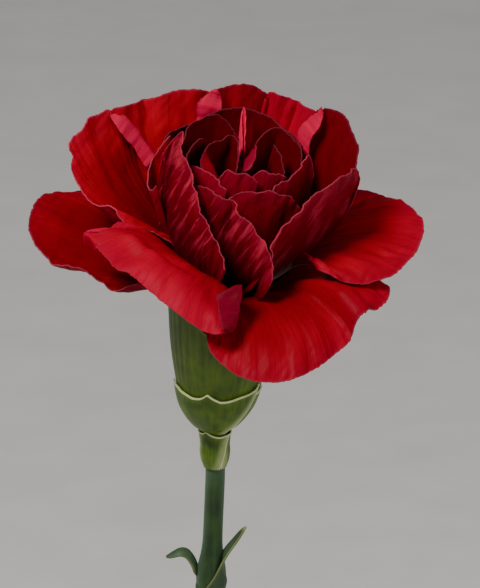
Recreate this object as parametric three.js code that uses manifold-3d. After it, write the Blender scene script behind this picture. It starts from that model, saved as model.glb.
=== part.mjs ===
// A cut carnation standing in a plain bud vase of water.
// Units are millimetres, +Z is up, and the origin is the middle of the vase's foot.
import * as THREE from 'three';
import { mergeVertices } from 'three/addons/utils/BufferGeometryUtils.js';
import Module from 'manifold-3d';

const wasm = await Module();
wasm.setup();

// ---- driving dimensions ----------------------------------------------------------------
const GAP = 0.3; // clearance between pieces that touch

const VASE_HEIGHT = 120;
const VASE_FOOT_RADIUS = 21;
const VASE_BELLY_RADIUS = 29;
const VASE_NECK_RADIUS = 10;
const VASE_LIP_RADIUS = 12.5;
const VASE_WALL = 3;
const VASE_FLOOR = 5;
const VASE_FLOOR_RADIUS = 14; // the flat of the floor inside
const WATER_LEVEL = 78;
const PROFILE_STEPS = 5;
const VASE_SIDES = 32;

const MOUTH = new THREE.Vector3(10, 0, 250); // the middle of the calyx mouth
const STEM_RADIUS = 2;
const STEM_TOP = -31.2; // heights from here on are measured from the calyx mouth
const SMALL_LEAF_JOINT = -62;
const LONG_LEAF_JOINT = -108;
const LEAF_THICKNESS = 0.8;

const CALYX_BOTTOM = -30.9;
const CALYX_WALL = 0.8;
const CALYX_SINUS = -6.5; // the bottom of the gaps between the teeth
const TOOTH_HEIGHT = 4.5;
const TEETH = 5;
const BRACT_WALL = 0.6;
const BRACT_POINT = 1.3; // how far a bract's tip stands over its rim
const BRACT_TURN = 255; // the turn of the front bract's tip round the stem, in degrees
const BRACT_RISE = [[0, 1], [7.5, 0.35], [15, 0], [30, 0], [60, 0.45], [90, 1]]; // by degrees from a tip
const UPPER_BRACT_RIM = -20.5;
const LOWER_BRACT_RIM = -30.2;

const PETAL_THICKNESS = 0.7;
const BLOOM_LEAN = THREE.MathUtils.degToRad(14); // the bloom nods to the right
const RIM_TILT = THREE.MathUtils.degToRad(20); // the plane of the rim points leans back

// ---- directions ------------------------------------------------------------------------
const RIGHT = new THREE.Vector3(1, 0, 0);
const UP = new THREE.Vector3(0, Math.sin(RIM_TILT), Math.cos(RIM_TILT));
const FORWARD = new THREE.Vector3(0, -Math.cos(RIM_TILT), Math.sin(RIM_TILT));
const AXIS = new THREE.Vector3(Math.sin(BLOOM_LEAN), 0, Math.cos(BLOOM_LEAN));
const ACROSS = new THREE.Vector3(Math.cos(BLOOM_LEAN), 0, -Math.sin(BLOOM_LEAN));
const BEHIND = new THREE.Vector3(0, 1, 0);

const radians = THREE.MathUtils.degToRad;

/** A sum of vectors, each with its own weight: mix([v, a], [w, b], ...). */
function mix(...terms) {
  const sum = new THREE.Vector3();
  for (const [vector, weight] of terms) sum.addScaledVector(vector, weight);
  return sum;
}

/** A point given by its distance right, up and forward of the calyx mouth. */
function fromMouth([right, up, forward]) {
  return mix([MOUTH, 1], [RIGHT, right], [UP, up], [FORWARD, forward]);
}

/** The value at u (0 to 1) of a list of evenly spaced values, or of one number. */
function valueAt(values, u) {
  if (typeof values === 'number') return values;
  const place = u * (values.length - 1);
  const left = Math.min(Math.floor(place), values.length - 2);
  return THREE.MathUtils.lerp(values[left], values[left + 1], place - left);
}

/** The value at x of a line through [x, value] points with rising x. */
function lineAt(points, x) {
  if (x <= points[0][0]) return points[0][1];
  for (let i = 1; i < points.length; i += 1) {
    const [x0, y0] = points[i - 1];
    const [x1, y1] = points[i];
    if (x <= x1) return y0 + ((y1 - y0) * (x - x0)) / (x1 - x0);
  }
  return points[points.length - 1][1];
}

// ---- closed meshes and joins -----------------------------------------------------------
/** A closed geometry from its points and triangles. */
function closed(points, triangles) {
  const geometry = new THREE.BufferGeometry().setFromPoints(points);
  geometry.setIndex(triangles);
  return geometry;
}

/** The solid that a closed geometry bounds. */
function solidOf(geometry) {
  const bare = geometry.clone();
  bare.deleteAttribute('normal');
  bare.deleteAttribute('uv');
  const merged = mergeVertices(bare, 1e-4);
  return new wasm.Manifold(new wasm.Mesh({
    numProp: 3,
    vertProperties: new Float32Array(merged.attributes.position.array),
    triVerts: new Uint32Array(merged.index.array),
  }));
}

/** The outer skin of the largest body in a solid, with its sealed hollows filled. */
function outerSkin(solid) {
  const bodies = solid.decompose().sort((a, b) => b.volume() - a.volume());
  const mesh = bodies[0].getMesh();
  const geometry = new THREE.BufferGeometry();
  geometry.setAttribute('position', new THREE.BufferAttribute(new Float32Array(mesh.vertProperties), 3));
  geometry.setIndex(new THREE.BufferAttribute(new Uint32Array(mesh.triVerts), 1));
  return geometry;
}

/** Several closed geometries fused into one. */
function fused(geometries) {
  const whole = geometries.map(solidOf).reduce((sum, solid) => sum.add(solid));
  return outerSkin(whole.simplify(0.03));
}

/** A sheet through a grid of points, with the same thickness everywhere. */
function sheet(grid, thickness) {
  const rows = grid.length;
  const columns = grid[0].length;
  const front = [];
  const back = [];
  for (let i = 0; i < rows; i += 1) {
    for (let j = 0; j < columns; j += 1) {
      const overRows = grid[Math.min(i + 1, rows - 1)][j].clone().sub(grid[Math.max(i - 1, 0)][j]);
      const overColumns = grid[i][Math.min(j + 1, columns - 1)].clone().sub(grid[i][Math.max(j - 1, 0)]);
      const normal = overRows.cross(overColumns).normalize();
      front.push(mix([grid[i][j], 1], [normal, thickness / 2]));
      back.push(mix([grid[i][j], 1], [normal, -thickness / 2]));
    }
  }
  const under = rows * columns;
  const at = (i, j) => i * columns + j;
  const triangles = [];
  for (let i = 0; i < rows - 1; i += 1) {
    for (let j = 0; j < columns - 1; j += 1) {
      const [a, b, c, d] = [at(i, j), at(i + 1, j), at(i + 1, j + 1), at(i, j + 1)];
      triangles.push(a, b, c, a, c, d);
      triangles.push(under + a, under + c, under + b, under + a, under + d, under + c);
    }
  }
  const outline = [];
  for (let i = 0; i < rows - 1; i += 1) outline.push(at(i, 0));
  for (let j = 0; j < columns - 1; j += 1) outline.push(at(rows - 1, j));
  for (let i = rows - 1; i > 0; i -= 1) outline.push(at(i, columns - 1));
  for (let j = columns - 1; j > 0; j -= 1) outline.push(at(0, j));
  outline.forEach((from, n) => {
    const to = outline[(n + 1) % outline.length];
    triangles.push(from, under + from, under + to, from, under + to, to);
  });
  return closed([...front, ...back], triangles);
}

/** A round body along a curve, whose radius follows a function of how far along it is. */
function loft(curve, radiusAt, steps, sides) {
  const { normals, binormals } = curve.computeFrenetFrames(steps, false);
  const points = [];
  for (let i = 0; i <= steps; i += 1) {
    const centre = curve.getPointAt(i / steps);
    const radius = radiusAt(i / steps, centre);
    for (let k = 0; k < sides; k += 1) {
      const turn = (2 * Math.PI * k) / sides;
      const [over, up] = [radius * Math.cos(turn), radius * Math.sin(turn)];
      points.push(mix([centre, 1], [normals[i], over], [binormals[i], up]));
    }
  }
  const triangles = [];
  for (let i = 0; i < steps; i += 1) {
    for (let k = 0; k < sides; k += 1) {
      const next = (k + 1) % sides;
      const [a, b] = [i * sides + k, i * sides + next];
      const [c, d] = [a + sides, b + sides];
      triangles.push(a, b, d, a, d, c);
    }
  }
  const bottom = points.push(curve.getPointAt(0)) - 1;
  const top = points.push(curve.getPointAt(1)) - 1;
  for (let k = 0; k < sides; k += 1) {
    const next = (k + 1) % sides;
    triangles.push(bottom, next, k);
    triangles.push(top, steps * sides + k, steps * sides + next);
  }
  return closed(points, triangles);
}

/** A lathe of [radius, height] points whose height and middle then follow the turn and the height. */
function bentLathe(profile, sides, liftAt) {
  const points = profile.map(([radius, height]) => new THREE.Vector2(radius, height));
  const geometry = new THREE.LatheGeometry(points, sides);
  geometry.rotateX(Math.PI / 2);
  const position = geometry.attributes.position;
  for (let i = 0; i < position.count; i += 1) {
    const [x, y] = [position.getX(i), position.getY(i)];
    const lift = liftAt(i % points.length, Math.atan2(y, x), Math.hypot(x, y));
    const z = position.getZ(i) + lift;
    position.setXYZ(i, x + MOUTH.x + leanAt(z), y + MOUTH.y, z + MOUTH.z);
  }
  return geometry;
}

// ---- vase and water --------------------------------------------------------------------
/** The inside of the vase, from the lip down to the flat of the floor. */
function insideProfile() {
  const inside = new THREE.Path();
  inside.moveTo(VASE_LIP_RADIUS - VASE_WALL, VASE_HEIGHT - 0.8);
  const neck = VASE_NECK_RADIUS - VASE_WALL;
  const belly = VASE_BELLY_RADIUS - VASE_WALL;
  inside.quadraticCurveTo(neck, VASE_HEIGHT - 7, neck, VASE_HEIGHT - 18);
  inside.bezierCurveTo(neck, 76, belly, 64, belly, 38);
  inside.bezierCurveTo(belly, 18, VASE_FLOOR_RADIUS + 4, VASE_FLOOR, VASE_FLOOR_RADIUS, VASE_FLOOR);
  return inside.getPoints(PROFILE_STEPS);
}

/** The vase: a flat foot, a round belly and a slim neck with a soft lip. */
function vase() {
  const outside = new THREE.Path();
  outside.moveTo(0, 0);
  outside.lineTo(VASE_FOOT_RADIUS - 1, 0);
  outside.lineTo(VASE_FOOT_RADIUS, 1);
  outside.bezierCurveTo(VASE_FOOT_RADIUS + 5, 9, VASE_BELLY_RADIUS, 20, VASE_BELLY_RADIUS, 38);
  outside.bezierCurveTo(VASE_BELLY_RADIUS, 66, VASE_NECK_RADIUS, 74, VASE_NECK_RADIUS, VASE_HEIGHT - 18);
  outside.quadraticCurveTo(VASE_NECK_RADIUS, VASE_HEIGHT - 6, VASE_LIP_RADIUS, VASE_HEIGHT - 1.5);
  const lip = new THREE.Vector2(VASE_LIP_RADIUS - VASE_WALL / 2, VASE_HEIGHT);
  const floorMiddle = new THREE.Vector2(0, VASE_FLOOR);
  const profile = [...outside.getPoints(PROFILE_STEPS), lip, ...insideProfile(), floorMiddle];
  const geometry = new THREE.LatheGeometry(profile, VASE_SIDES);
  geometry.rotateX(Math.PI / 2);
  return geometry;
}

/** The water, with a plain hole where the stem stands in it. */
function water() {
  const clear = GAP * 1.8;
  const wall = insideProfile()
    .filter((point) => point.y < WATER_LEVEL)
    .map((point) => new THREE.Vector2(point.x - clear, Math.max(point.y, VASE_FLOOR + GAP)));
  const full = new THREE.LatheGeometry([
    new THREE.Vector2(0, VASE_FLOOR + GAP),
    ...wall.reverse(),
    new THREE.Vector2(wallRadiusAt(WATER_LEVEL) - clear, WATER_LEVEL),
    new THREE.Vector2(0, WATER_LEVEL),
  ], VASE_SIDES);
  full.rotateX(Math.PI / 2);
  const hole = loft(stemCurve(-2 * GAP), () => STEM_RADIUS + 0.3 + GAP, 24, 12);
  return outerSkin(solidOf(full).subtract(solidOf(hole)));
}

/** The radius inside the vase at a height. */
function wallRadiusAt(height) {
  const points = insideProfile().map((point) => [point.y, point.x]);
  return lineAt(points.reverse(), height);
}

// ---- stem with its leaves --------------------------------------------------------------
/** How far the middle of the stem and calyx lies to the right at a height from the mouth. */
function leanAt(height) {
  return lineAt([[-62, -2.3], [-39, -1.4], [-31, -1.4], [-20, -0.7], [0, 0]], height);
}

/** The middle line of the stem, from the vase's floor to the calyx. */
function stemCurve(extra = 0) {
  const foot = new THREE.Vector3(-VASE_FLOOR_RADIUS + STEM_RADIUS + 1.2, 2, VASE_FLOOR + 2 * GAP + extra);
  const atLip = new THREE.Vector3(VASE_NECK_RADIUS - VASE_WALL - STEM_RADIUS - 1, -0.5, VASE_HEIGHT - 12);
  const belowLeaves = [LONG_LEAF_JOINT, -85, SMALL_LEAF_JOINT, -50, -39, STEM_TOP]
    .map((height) => new THREE.Vector3(MOUTH.x + lowLeanAt(height), 0, MOUTH.z + height));
  return new THREE.CatmullRomCurve3([foot, new THREE.Vector3(-4.5, 1, 60), atLip, ...belowLeaves]);
}

/** The lean at a height, carried on down the stem to the vase's lip. */
function lowLeanAt(height) {
  return height >= SMALL_LEAF_JOINT ? leanAt(height) : -2.3 + (height - SMALL_LEAF_JOINT) * 0.045;
}

/** The stem's radius: slim, and swollen at the joints that carry leaves. */
function stemRadius(height) {
  const joint = (at, length, swell) => swell * Math.exp(-(((height - at) / length) ** 2));
  return STEM_RADIUS + joint(SMALL_LEAF_JOINT, 4.5, 1.1) + joint(LONG_LEAF_JOINT, 5, 1.3);
}

/** A narrow leaf along its middle line: channelled, widest below the middle, ending in a point. */
function leaf(spine, width, side, steps) {
  const curve = new THREE.CatmullRomCurve3(spine);
  const grid = [-1, 0, 1].map(() => []);
  for (let j = 0; j <= steps; j += 1) {
    const along = j / steps;
    const middle = curve.getPointAt(along);
    const tangent = curve.getTangentAt(along);
    const over = side.clone().addScaledVector(tangent, -side.dot(tangent)).normalize();
    const face = tangent.clone().cross(over);
    const half = (width / 2) * Math.min(1, 0.75 + 0.8 * along) * Math.sqrt(1 - 0.94 * along ** 3);
    [-1, 0, 1].forEach((edge, i) => {
      grid[i].push(mix([middle, 1], [over, edge * half], [face, Math.abs(edge) * half * 0.4]));
    });
  }
  return sheet(grid, LEAF_THICKNESS);
}

/** A long arching leaf that leaves its joint on one side and curls over. */
function longLeafSpine(turn, spread) {
  const joint = new THREE.Vector3(MOUTH.x + lowLeanAt(LONG_LEAF_JOINT), 0, MOUTH.z + LONG_LEAF_JOINT);
  const out = new THREE.Vector3(Math.cos(turn), Math.sin(turn), 0);
  return [[1.2, -5], [2.6, 2], [7, 12], [16, 19], [28, 19], [38, 11], [43, 1]]
    .map(([reach, rise]) => mix([joint, 1], [out, reach * spread], [new THREE.Vector3(0, 0, 1), rise]));
}

/** The stem and its two pairs of leaves. */
function stem() {
  const body = loft(stemCurve(), (_, centre) => stemRadius(centre.z - MOUTH.z), 46, 12);
  const overLeft = new THREE.Vector3(0, 0.94, 0.28);
  const overRight = new THREE.Vector3(-0.25, 0.9, 0.1);
  const left = [[-3.4, 0, -66.6], [-4.3, 0, -63.4], [-4.9, 0, -60.8], [-5.7, 0, -58.4],
    [-7, 0, -56.8], [-8.6, 0, -56.5], [-11.4, 0, -57.9]];
  const right = [[-2.4, -1.6, -65], [-1.4, -2, -62.5], [-0.6, -2, -60], [0.4, -1.6, -57.6],
    [1.6, -1, -55.8], [3, -0.5, -54], [4.8, -0.3, -51.2]];
  const fromMiddle = ([x, y, z]) => new THREE.Vector3(x, y, z).add(MOUTH);
  const first = radians(78);
  const overFirst = new THREE.Vector3(-Math.sin(first), Math.cos(first), 0);
  return fused([
    body,
    leaf(left.map(fromMiddle), 3.4, overLeft, 10),
    leaf(right.map(fromMiddle), 2.8, overRight, 10),
    leaf(longLeafSpine(first, 1), 6, overFirst, 14),
    leaf(longLeafSpine(first + Math.PI, 0.9), 6, overFirst.clone().negate(), 14),
  ]);
}

// ---- calyx and bracts ------------------------------------------------------------------
const CALYX_OUTSIDE = [[CALYX_BOTTOM, 1.6], [-29.5, 2.7], [-27.5, 4.2], [-25, 6.05], [-22.5, 7.3],
  [-20, 7.95], [-18, 8.75], [-13, 9.85], [CALYX_SINUS, 10.6]];

/** The calyx's radius at a height, on the outside. */
const calyxRadius = (height) => lineAt(CALYX_OUTSIDE, height);

/** How much the mouth of the calyx, square to the bloom, dips at a turn round the stem. */
const mouthDip = (turn, radius) => -Math.tan(BLOOM_LEAN) * radius * Math.cos(turn);

/** The rise of a pointed tooth, 0 to 1, at a turn: repeats over the given count. */
function tooth(turn, count, phase) {
  const place = ((turn / (2 * Math.PI)) * count + phase) % 1;
  return 1 - Math.abs(2 * ((place + 1) % 1) - 1);
}

/** The calyx: a green tube, open at the top, with five teeth round its mouth. */
function calyx() {
  const outside = CALYX_OUTSIDE.map(([height, radius]) => [radius, height]);
  const inside = [CALYX_SINUS, -13, -19, -23.5, -27]
    .map((height) => [calyxRadius(height) - CALYX_WALL, height]);
  const profile = [[0, CALYX_BOTTOM], ...outside, ...inside, [0, -29.3]];
  const rimPoints = [outside.length, outside.length + 1];
  return bentLathe(profile, 40, (n, turn, radius) => {
    const height = profile[n][1];
    const towardsMouth = THREE.MathUtils.clamp((height - -20) / (CALYX_SINUS - -20), 0, 1);
    const dip = mouthDip(turn, radius) * towardsMouth;
    return rimPoints.includes(n) ? dip + TOOTH_HEIGHT * tooth(turn, TEETH, 0.5) : dip;
  });
}

/** The broad upper bracts: a cup round the foot of the calyx, with a low point on each bract. */
function upperBracts() {
  const rimRadius = calyxRadius(UPPER_BRACT_RIM + BRACT_POINT) + 1.2 * GAP;
  const outside = [[3.4, -30], [3.9, -29.2], [5.3, -27.6], [6.8, -25.7], [7.8, -24.1], [8.4, -22.6],
    [rimRadius + BRACT_WALL, UPPER_BRACT_RIM]];
  const inside = [-22.5, -25, -27.5, -29.3].map((height) => [calyxRadius(height) + 1.4 * GAP, height]);
  inside.unshift([rimRadius, UPPER_BRACT_RIM]);
  const profile = [...outside, ...inside, [3.1, -30], outside[0]];
  const rim = [outside.length - 1, outside.length];
  return bentLathe(profile, 48, (n, turn) => (rim.includes(n) ? bractRise(turn) : 0));
}

/** How far a bract's rim rises at a turn: a point in its middle, and a corner at each of its margins. */
function bractRise(turn) {
  const pastTip = (THREE.MathUtils.radToDeg(turn) - BRACT_TURN + 450) % 180;
  return BRACT_POINT * lineAt(BRACT_RISE, Math.abs(pastTip - 90));
}

/** The small lower bracts: a sheath round the top of the stem. */
function lowerBracts() {
  const inner = STEM_RADIUS + 1.2 * GAP;
  const outside = [[inner + 0.2, -38], [2.95, -37.2], [3.1, -35.7], [3.12, -34.3], [3.05, -32.8],
    [3.3, LOWER_BRACT_RIM - 0.2]];
  const inside = [[2.7, LOWER_BRACT_RIM - 0.3], [inner, -33], [inner, -38]];
  const profile = [...outside, ...inside, outside[0]];
  return bentLathe(profile, 20, () => 0);
}

// ---- bloom -----------------------------------------------------------------------------
// Each petal: the turn of its claw round the axis, the pitch at which it leaves the claw and
// reaches its rim (degrees over the plane square to the axis, from its left end to its right),
// the turn by which it leaves the claw off the straight way to its rim (sweep, degrees), and
// its rim, from left to right, as [right, up, forward] of the calyx mouth.
const GUARD_ROOT = { ring: 5, depth: 3, start: 0.33 };
const CUP_ROOT = { ring: 3.5, depth: -1, start: 0.45 };
const MIDDLE_ROOT = { ring: 4, depth: 1 };
const CLAW_WIDTH = 4;
const RIM_HANDLE = 0.35; // how much of a ray's length bends it at the rim
const PETALS = {
  guardRight: {
    claw: -15, launch: [55, 68, 75, 75, 66, 38], arrive: [20, 5, -10, -30, -40],
    ...GUARD_ROOT, start: [0.38, 0.45, 0.47, 0.47, 0.42, 0.35], ruffle: [0.5, 5, 0.4], cells: [11, 4],
    rim: [[23.6, 19.6, -6], [26.8, 20, -6], [30.8, 19.6, -5], [34.6, 18.6, -4], [37.2, 17, -2],
      [39.2, 15, 0], [40.4, 12, 3], [39.6, 9.6, 5], [38.2, 7, 9], [35.6, 4.4, 13], [32.6, 2.4, 16.5],
      [28.6, 1.2, 19], [24.6, 1.4, 19.4], [20.6, 3.2, 17.6], [17.2, 5.6, 14.6], [14.6, 6, 13],
      [11, 4, 12]],
  },
  guardLeft: {
    claw: 195, launch: [78, 62, 45, 40, 40], arrive: [10, 15, 20, 0, -20],
    ...GUARD_ROOT, start: [0.42, 0.36, 0.33, 0.33], ruffle: [0.3, 3, 1.4], cells: [12, 4],
    rim: [[-14, 4.4, 12], [-15.4, 2, 13.2], [-17, 1.2, 14], [-19.4, 0.1, 14], [-21, 0, 14],
      [-22, 0.6, 14], [-23.4, 2, 14], [-25.4, 2.8, 14], [-28, 4, 14], [-30.4, 4.5, 14],
      [-32.4, 4.8, 13.5], [-34, 5.6, 12.5], [-36, 7.6, 10.5], [-37.6, 10.4, 8.5], [-38.4, 13.4, 5.5],
      [-38.2, 15.4, 2.5], [-37.4, 17.4, -1], [-36, 19, -3], [-34, 19.8, -5], [-28.6, 20.2, -6],
      [-22.4, 20.4, -6]],
  },
  guardFrontLeft: {
    claw: 235, launch: [62, 72, 75, 72, 45], arrive: [-5, -40, -60, -60, 20],
    ...GUARD_ROOT, start: [0.4, 0.5, 0.52, 0.5, 0.35], ruffle: [0.2, 3, 0], cells: [13, 6],
    rim: [[-20.6, 13.4, 14.5], [-22, 12.2, 15.5], [-24, 11.4, 16.2], [-27.2, 11.3, 16.4],
      [-26, 10.3, 17.2], [-24.8, 8.6, 18.4], [-22.8, 6.3, 19.8], [-20.8, 4.2, 21], [-18.4, 3.4, 22.5],
      [-16.6, 2, 24], [-14.4, 0, 25.8], [-10.4, -3.2, 28], [-7.4, -5.4, 29.5], [-4.4, -7.4, 30.5],
      [-2, -8.4, 31], [0.2, -8.5, 31], [2.4, -7.2, 30], [3.6, -3.6, 28.5], [3.9, -0.8, 27.5],
      [3.5, 0.9, 26.5]],
  },
  guardFrontRight: {
    claw: 290, launch: [62, 62, 62, 56, 20], arrive: [-60, -60, -50, -20, 0],
    ...GUARD_ROOT, start: [0.4, 0.4, 0.4, 0.38, 0.33], ruffle: [0.4, 4, 2.2], cells: [14, 6],
    rim: [[-1, -4, 22], [-2.6, -8.6, 25], [-2, -12, 27], [-0.4, -14, 28.5], [2, -16, 30],
      [4.6, -17.2, 31.5], [7.2, -17.9, 32.5], [10, -18, 33], [12.6, -17.7, 33], [14.8, -17, 33],
      [17.6, -15.6, 32], [20, -14.2, 31], [22, -12.6, 29], [25, -10, 26.5], [25.8, -8, 26],
      [27, -5.8, 25.4], [28.8, -4.2, 24.4], [31.2, -3, 21.6], [32.8, -1.6, 18], [32.6, 0.2, 13.5],
      [30.4, -0.6, 10.5], [26.4, -0.6, 8], [21.6, 0.4, 6.5]],
  },
  wingLeft: {
    claw: 170, launch: [52, 52, 50, 50], arrive: [0, 10, 50, 75, 80],
    ruffle: [0.4, 4, 0.3], cells: [12, 4],
    rim: [[-9, 8, 8], [-12, 10.4, 9], [-15.8, 12.6, 10.5], [-19.4, 14, 11.5], [-21, 15.6, 11],
      [-22.2, 16.2, 10], [-24.4, 16.4, 9], [-26.4, 17.4, 8.5], [-28.2, 20, 8], [-29.4, 23.4, 8],
      [-30.4, 26, 8], [-31, 28.2, 8], [-29.8, 30.4, 7], [-28, 31.6, 6], [-26.4, 34.2, 4],
      [-24.4, 35, 2.5], [-22.8, 36.2, 1], [-20.8, 35.4, 0], [-19.2, 34, -1], [-17.8, 32.4, -2],
      [-16.4, 30.4, -2.5], [-14.8, 28.4, -2.5], [-13.4, 26.6, -2]],
  },
  backLeft: {
    claw: 125, launch: 55, arrive: [70, 75, 80],
    ruffle: [0.4, 4, 0.3], cells: [9, 4],
    rim: [[-20, 30, -6], [-22, 36, -6], [-18, 37.6, -8], [-14.4, 38.6, -9.5], [-10.4, 40.2, -10.5],
      [-7.4, 40.6, -11], [-4.4, 40.6, -11.5], [-1.4, 39.6, -12], [0.6, 37, -12]],
  },
  backMiddle: {
    claw: 90, launch: 60, arrive: [80, 80, 80],
    ruffle: [0.3, 3, 0.3], cells: [8, 4],
    rim: [[-5.2, 31, -8], [-5.2, 34.6, -8], [-4.8, 37.2, -7.5], [-3.6, 39.2, -7], [-1.8, 40.4, -7],
      [0, 40.8, -8.5], [4.2, 41.8, -10], [6.6, 41.2, -10.5], [8.6, 40, -11], [10.6, 38.6, -11]],
  },
  backRight: {
    claw: 60, launch: 60, arrive: [80, 80, 80],
    ruffle: [0.3, 3, 0.3], cells: [6, 4],
    rim: [[8.6, 37, -10], [9.2, 39.8, -9.5], [12.6, 39.2, -8.5], [15.2, 38, -8], [17.2, 37, -7],
      [18.8, 36.2, -6], [20.6, 34.4, -5]],
  },
  wingRight: {
    claw: 15, launch: 45, arrive: [85, 80, 75],
    ruffle: [0.3, 3, 1.3], cells: [9, 4],
    rim: [[16.4, 28, -3], [15.2, 30.4, -2.5], [15.8, 32.6, -1.2], [17.4, 34.2, 0.6], [18.4, 35.2, 2],
      [19.7, 36.4, 3.5], [21.6, 36, 3.5], [23.2, 35.6, 4], [24.6, 34.2, 6], [25.8, 32.2, 7.5],
      [26.8, 30, 9], [27.2, 28, 10], [26.8, 25.6, 11], [26, 23, 12], [24.6, 20, 12]],
  },
  cupRight: {
    claw: 305, launch: [10, 24, 42], arrive: [60, 85, 95],
    ...CUP_ROOT, ruffle: [0.2, 5, 1.3], cells: [9, 4],
    rim: [[9.6, 5.4, 24], [9.8, 8, 24], [10.4, 9.6, 24], [11.8, 12, 24], [13.6, 13.6, 23.5],
      [15.2, 15.2, 23], [16.2, 16.8, 22.5], [18, 18.4, 21.5], [19.6, 19.6, 20.5], [21.6, 20.8, 19.5],
      [23.2, 22, 18], [24.8, 23, 16], [26, 24, 14], [27, 23.6, 12], [27.2, 22, 11]],
  },
  cupLeft: {
    claw: 225, launch: 10, arrive: [90, 85, 60],
    ...CUP_ROOT, ruffle: [0.15, 5, 1.3], cells: [11, 4],
    rim: [[-11.8, 20, 8], [-11.8, 23, 8.5], [-11.6, 26.4, 9.5], [-10.6, 28.6, 10.5], [-9.2, 30.2, 11.5],
      [-7.8, 31.4, 12.5], [-7.8, 29.6, 13.5], [-7.8, 26.6, 15], [-6.8, 25.4, 16], [-6.2, 23.6, 17],
      [-5.6, 21.6, 18], [-5, 19.4, 19], [-4.4, 17, 20], [-4.2, 15.2, 20.5], [-3, 13.6, 21],
      [-1.8, 10.8, 21.5], [-0.6, 8, 21.8], [0.2, 5.8, 22], [0.6, 4, 22]],
  },
  cupFront: {
    claw: 275, launch: 20, arrive: [85, 85, 80],
    ...CUP_ROOT, sweep: [55, 25, 5], ruffle: [0.15, 5, 1.3], cells: [9, 4],
    rim: [[-5, 20.6, 16], [-3.8, 20.4, 17], [-2, 19.6, 18.5], [0, 18.2, 20], [1.4, 17.2, 20.6],
      [2.6, 16.6, 20.8], [3.8, 15.4, 22], [5.2, 13.6, 23.5], [6.4, 12, 24], [7, 10.8, 24],
      [8.6, 9.2, 24.5], [9.6, 7.2, 24.5], [9.9, 4.4, 24.5], [9.9, 2, 24]],
  },
  bowlFront: {
    claw: 270, launch: 15, arrive: [90, 90, 90],
    ...CUP_ROOT, ruffle: [0.15, 5, 1.3], cells: [5, 3],
    rim: [[0.4, 17.4, 16], [2, 18.2, 16.5], [3.2, 19, 17], [5, 19.4, 17.5], [7.6, 19.2, 18],
      [10, 19.4, 18], [11.6, 18.6, 17.5], [13.2, 18.6, 17], [14.4, 17.4, 16], [16, 15.6, 15]],
  },
  heartFrontLeft: {
    claw: 250, launch: 60, arrive: [90, 90, 90],
    ruffle: [0.1, 5, 1.3], cells: [5, 3],
    rim: [[-1.2, 21.2, 12], [0.4, 23.2, 12.5], [1.2, 23.8, 13], [2.8, 23, 13.5], [4.6, 23, 13.5],
      [5.8, 22.4, 13.5], [7.2, 21.2, 13]],
  },
  heartFrontRight: {
    claw: 290, launch: 60, arrive: [90, 90, 90],
    ruffle: [0.1, 5, 1.3], cells: [5, 3],
    rim: [[5.6, 21.6, 12], [6.8, 23, 12.5], [8.4, 23.6, 13], [9.4, 23, 13], [11.4, 22.8, 12.5],
      [12.6, 22.4, 12], [13.6, 21.2, 11.5]],
  },
  heartLeft: {
    claw: 210, launch: 40, arrive: [90, 90, 90],
    ruffle: [0.1, 5, 1.3], cells: [5, 3],
    rim: [[-5.8, 24.6, 10], [-4.8, 24.4, 12], [-4, 23.8, 13], [-2.6, 23.2, 14], [-1, 22, 15],
      [-0.2, 20.6, 15.5], [1, 19.8, 16]],
  },
  heartRight: {
    claw: 330, launch: 40, arrive: [90, 90, 90],
    ruffle: [0.15, 8, 1.3], cells: [5, 3],
    rim: [[10.2, 19.6, 15.5], [11.4, 21, 15], [13, 21.6, 14.5], [14.6, 23.2, 13.5], [15.4, 23.8, 13],
      [16.2, 25.4, 12], [17.2, 26.6, 11], [18, 25, 10], [18.2, 22.4, 9]],
  },
  ringBack: {
    claw: 90, launch: 50, arrive: [95, 95, 95],
    ruffle: [0.15, 5, 1.3], cells: [10, 4],
    rim: [[-11, 22, 5], [-11.6, 26.4, 5], [-11.8, 29, 4], [-11, 31, 2], [-9.4, 32, 0], [-6.4, 33.2, -2],
      [-4.4, 34.2, -3.5], [-2, 35.6, -5], [1.2, 36.4, -6], [4.2, 36.8, -6.5], [6.6, 36, -6],
      [9.6, 34.8, -5], [11.6, 33.2, -4], [13.6, 31.4, -2], [15.2, 29.8, 0], [15.8, 28, 3]],
  },
  archLeft: {
    claw: 120, launch: 60, arrive: [95, 95, 95],
    ruffle: [0.1, 4, 1.3], cells: [5, 3],
    rim: [[-8, 29, 4], [-6.4, 33, 1], [-3.8, 34.4, -1], [-2, 35.2, -2], [-0.8, 35.2, -2.5],
      [1.2, 33.6, -3], [2.6, 31.6, -3], [3.6, 30, -2.5], [4.2, 27.6, -1]],
  },
  loopLeft: {
    claw: 180, launch: 70, arrive: [90, 95, 90],
    ruffle: [0.1, 4, 1.3], cells: [5, 3],
    rim: [[-0.6, 22, 10], [-1.8, 24.8, 9], [-2.6, 26, 8], [-3.2, 27.6, 7], [-1.6, 29.4, 4],
      [-0.4, 29.8, 3], [1.2, 30.8, 2], [2, 31, 1.5], [3, 30.2, 2], [3.4, 28.6, 4], [3.2, 26, 6.5],
      [3, 23.4, 9]],
  },
  loopRight: {
    claw: 45, launch: 70, arrive: [90, 95, 90],
    ruffle: [0.1, 4, 1.3], cells: [5, 3],
    rim: [[4.2, 24, 9], [4.6, 25.6, 7.5], [5.6, 27, 6], [6.2, 28, 5], [7.2, 29.8, 3], [8, 30.8, 2],
      [9.6, 32, 0.5], [11.2, 32.6, 0], [13, 31.4, 1], [14.2, 30, 2.5], [15.4, 29.2, 4], [15.8, 28, 5.5],
      [15.8, 25, 8], [15.4, 23.6, 9.5]],
  },
  bladeRight: {
    claw: 0, launch: 80, arrive: [90, 90, 90],
    ruffle: [0.1, 2, 1.3], cells: [4, 3],
    rim: [[10.4, 29, 4], [11.6, 27, 5], [12.2, 25, 6.5], [12.4, 23.6, 8], [12, 22, 9]],
  },
  bladeLeft: {
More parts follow.
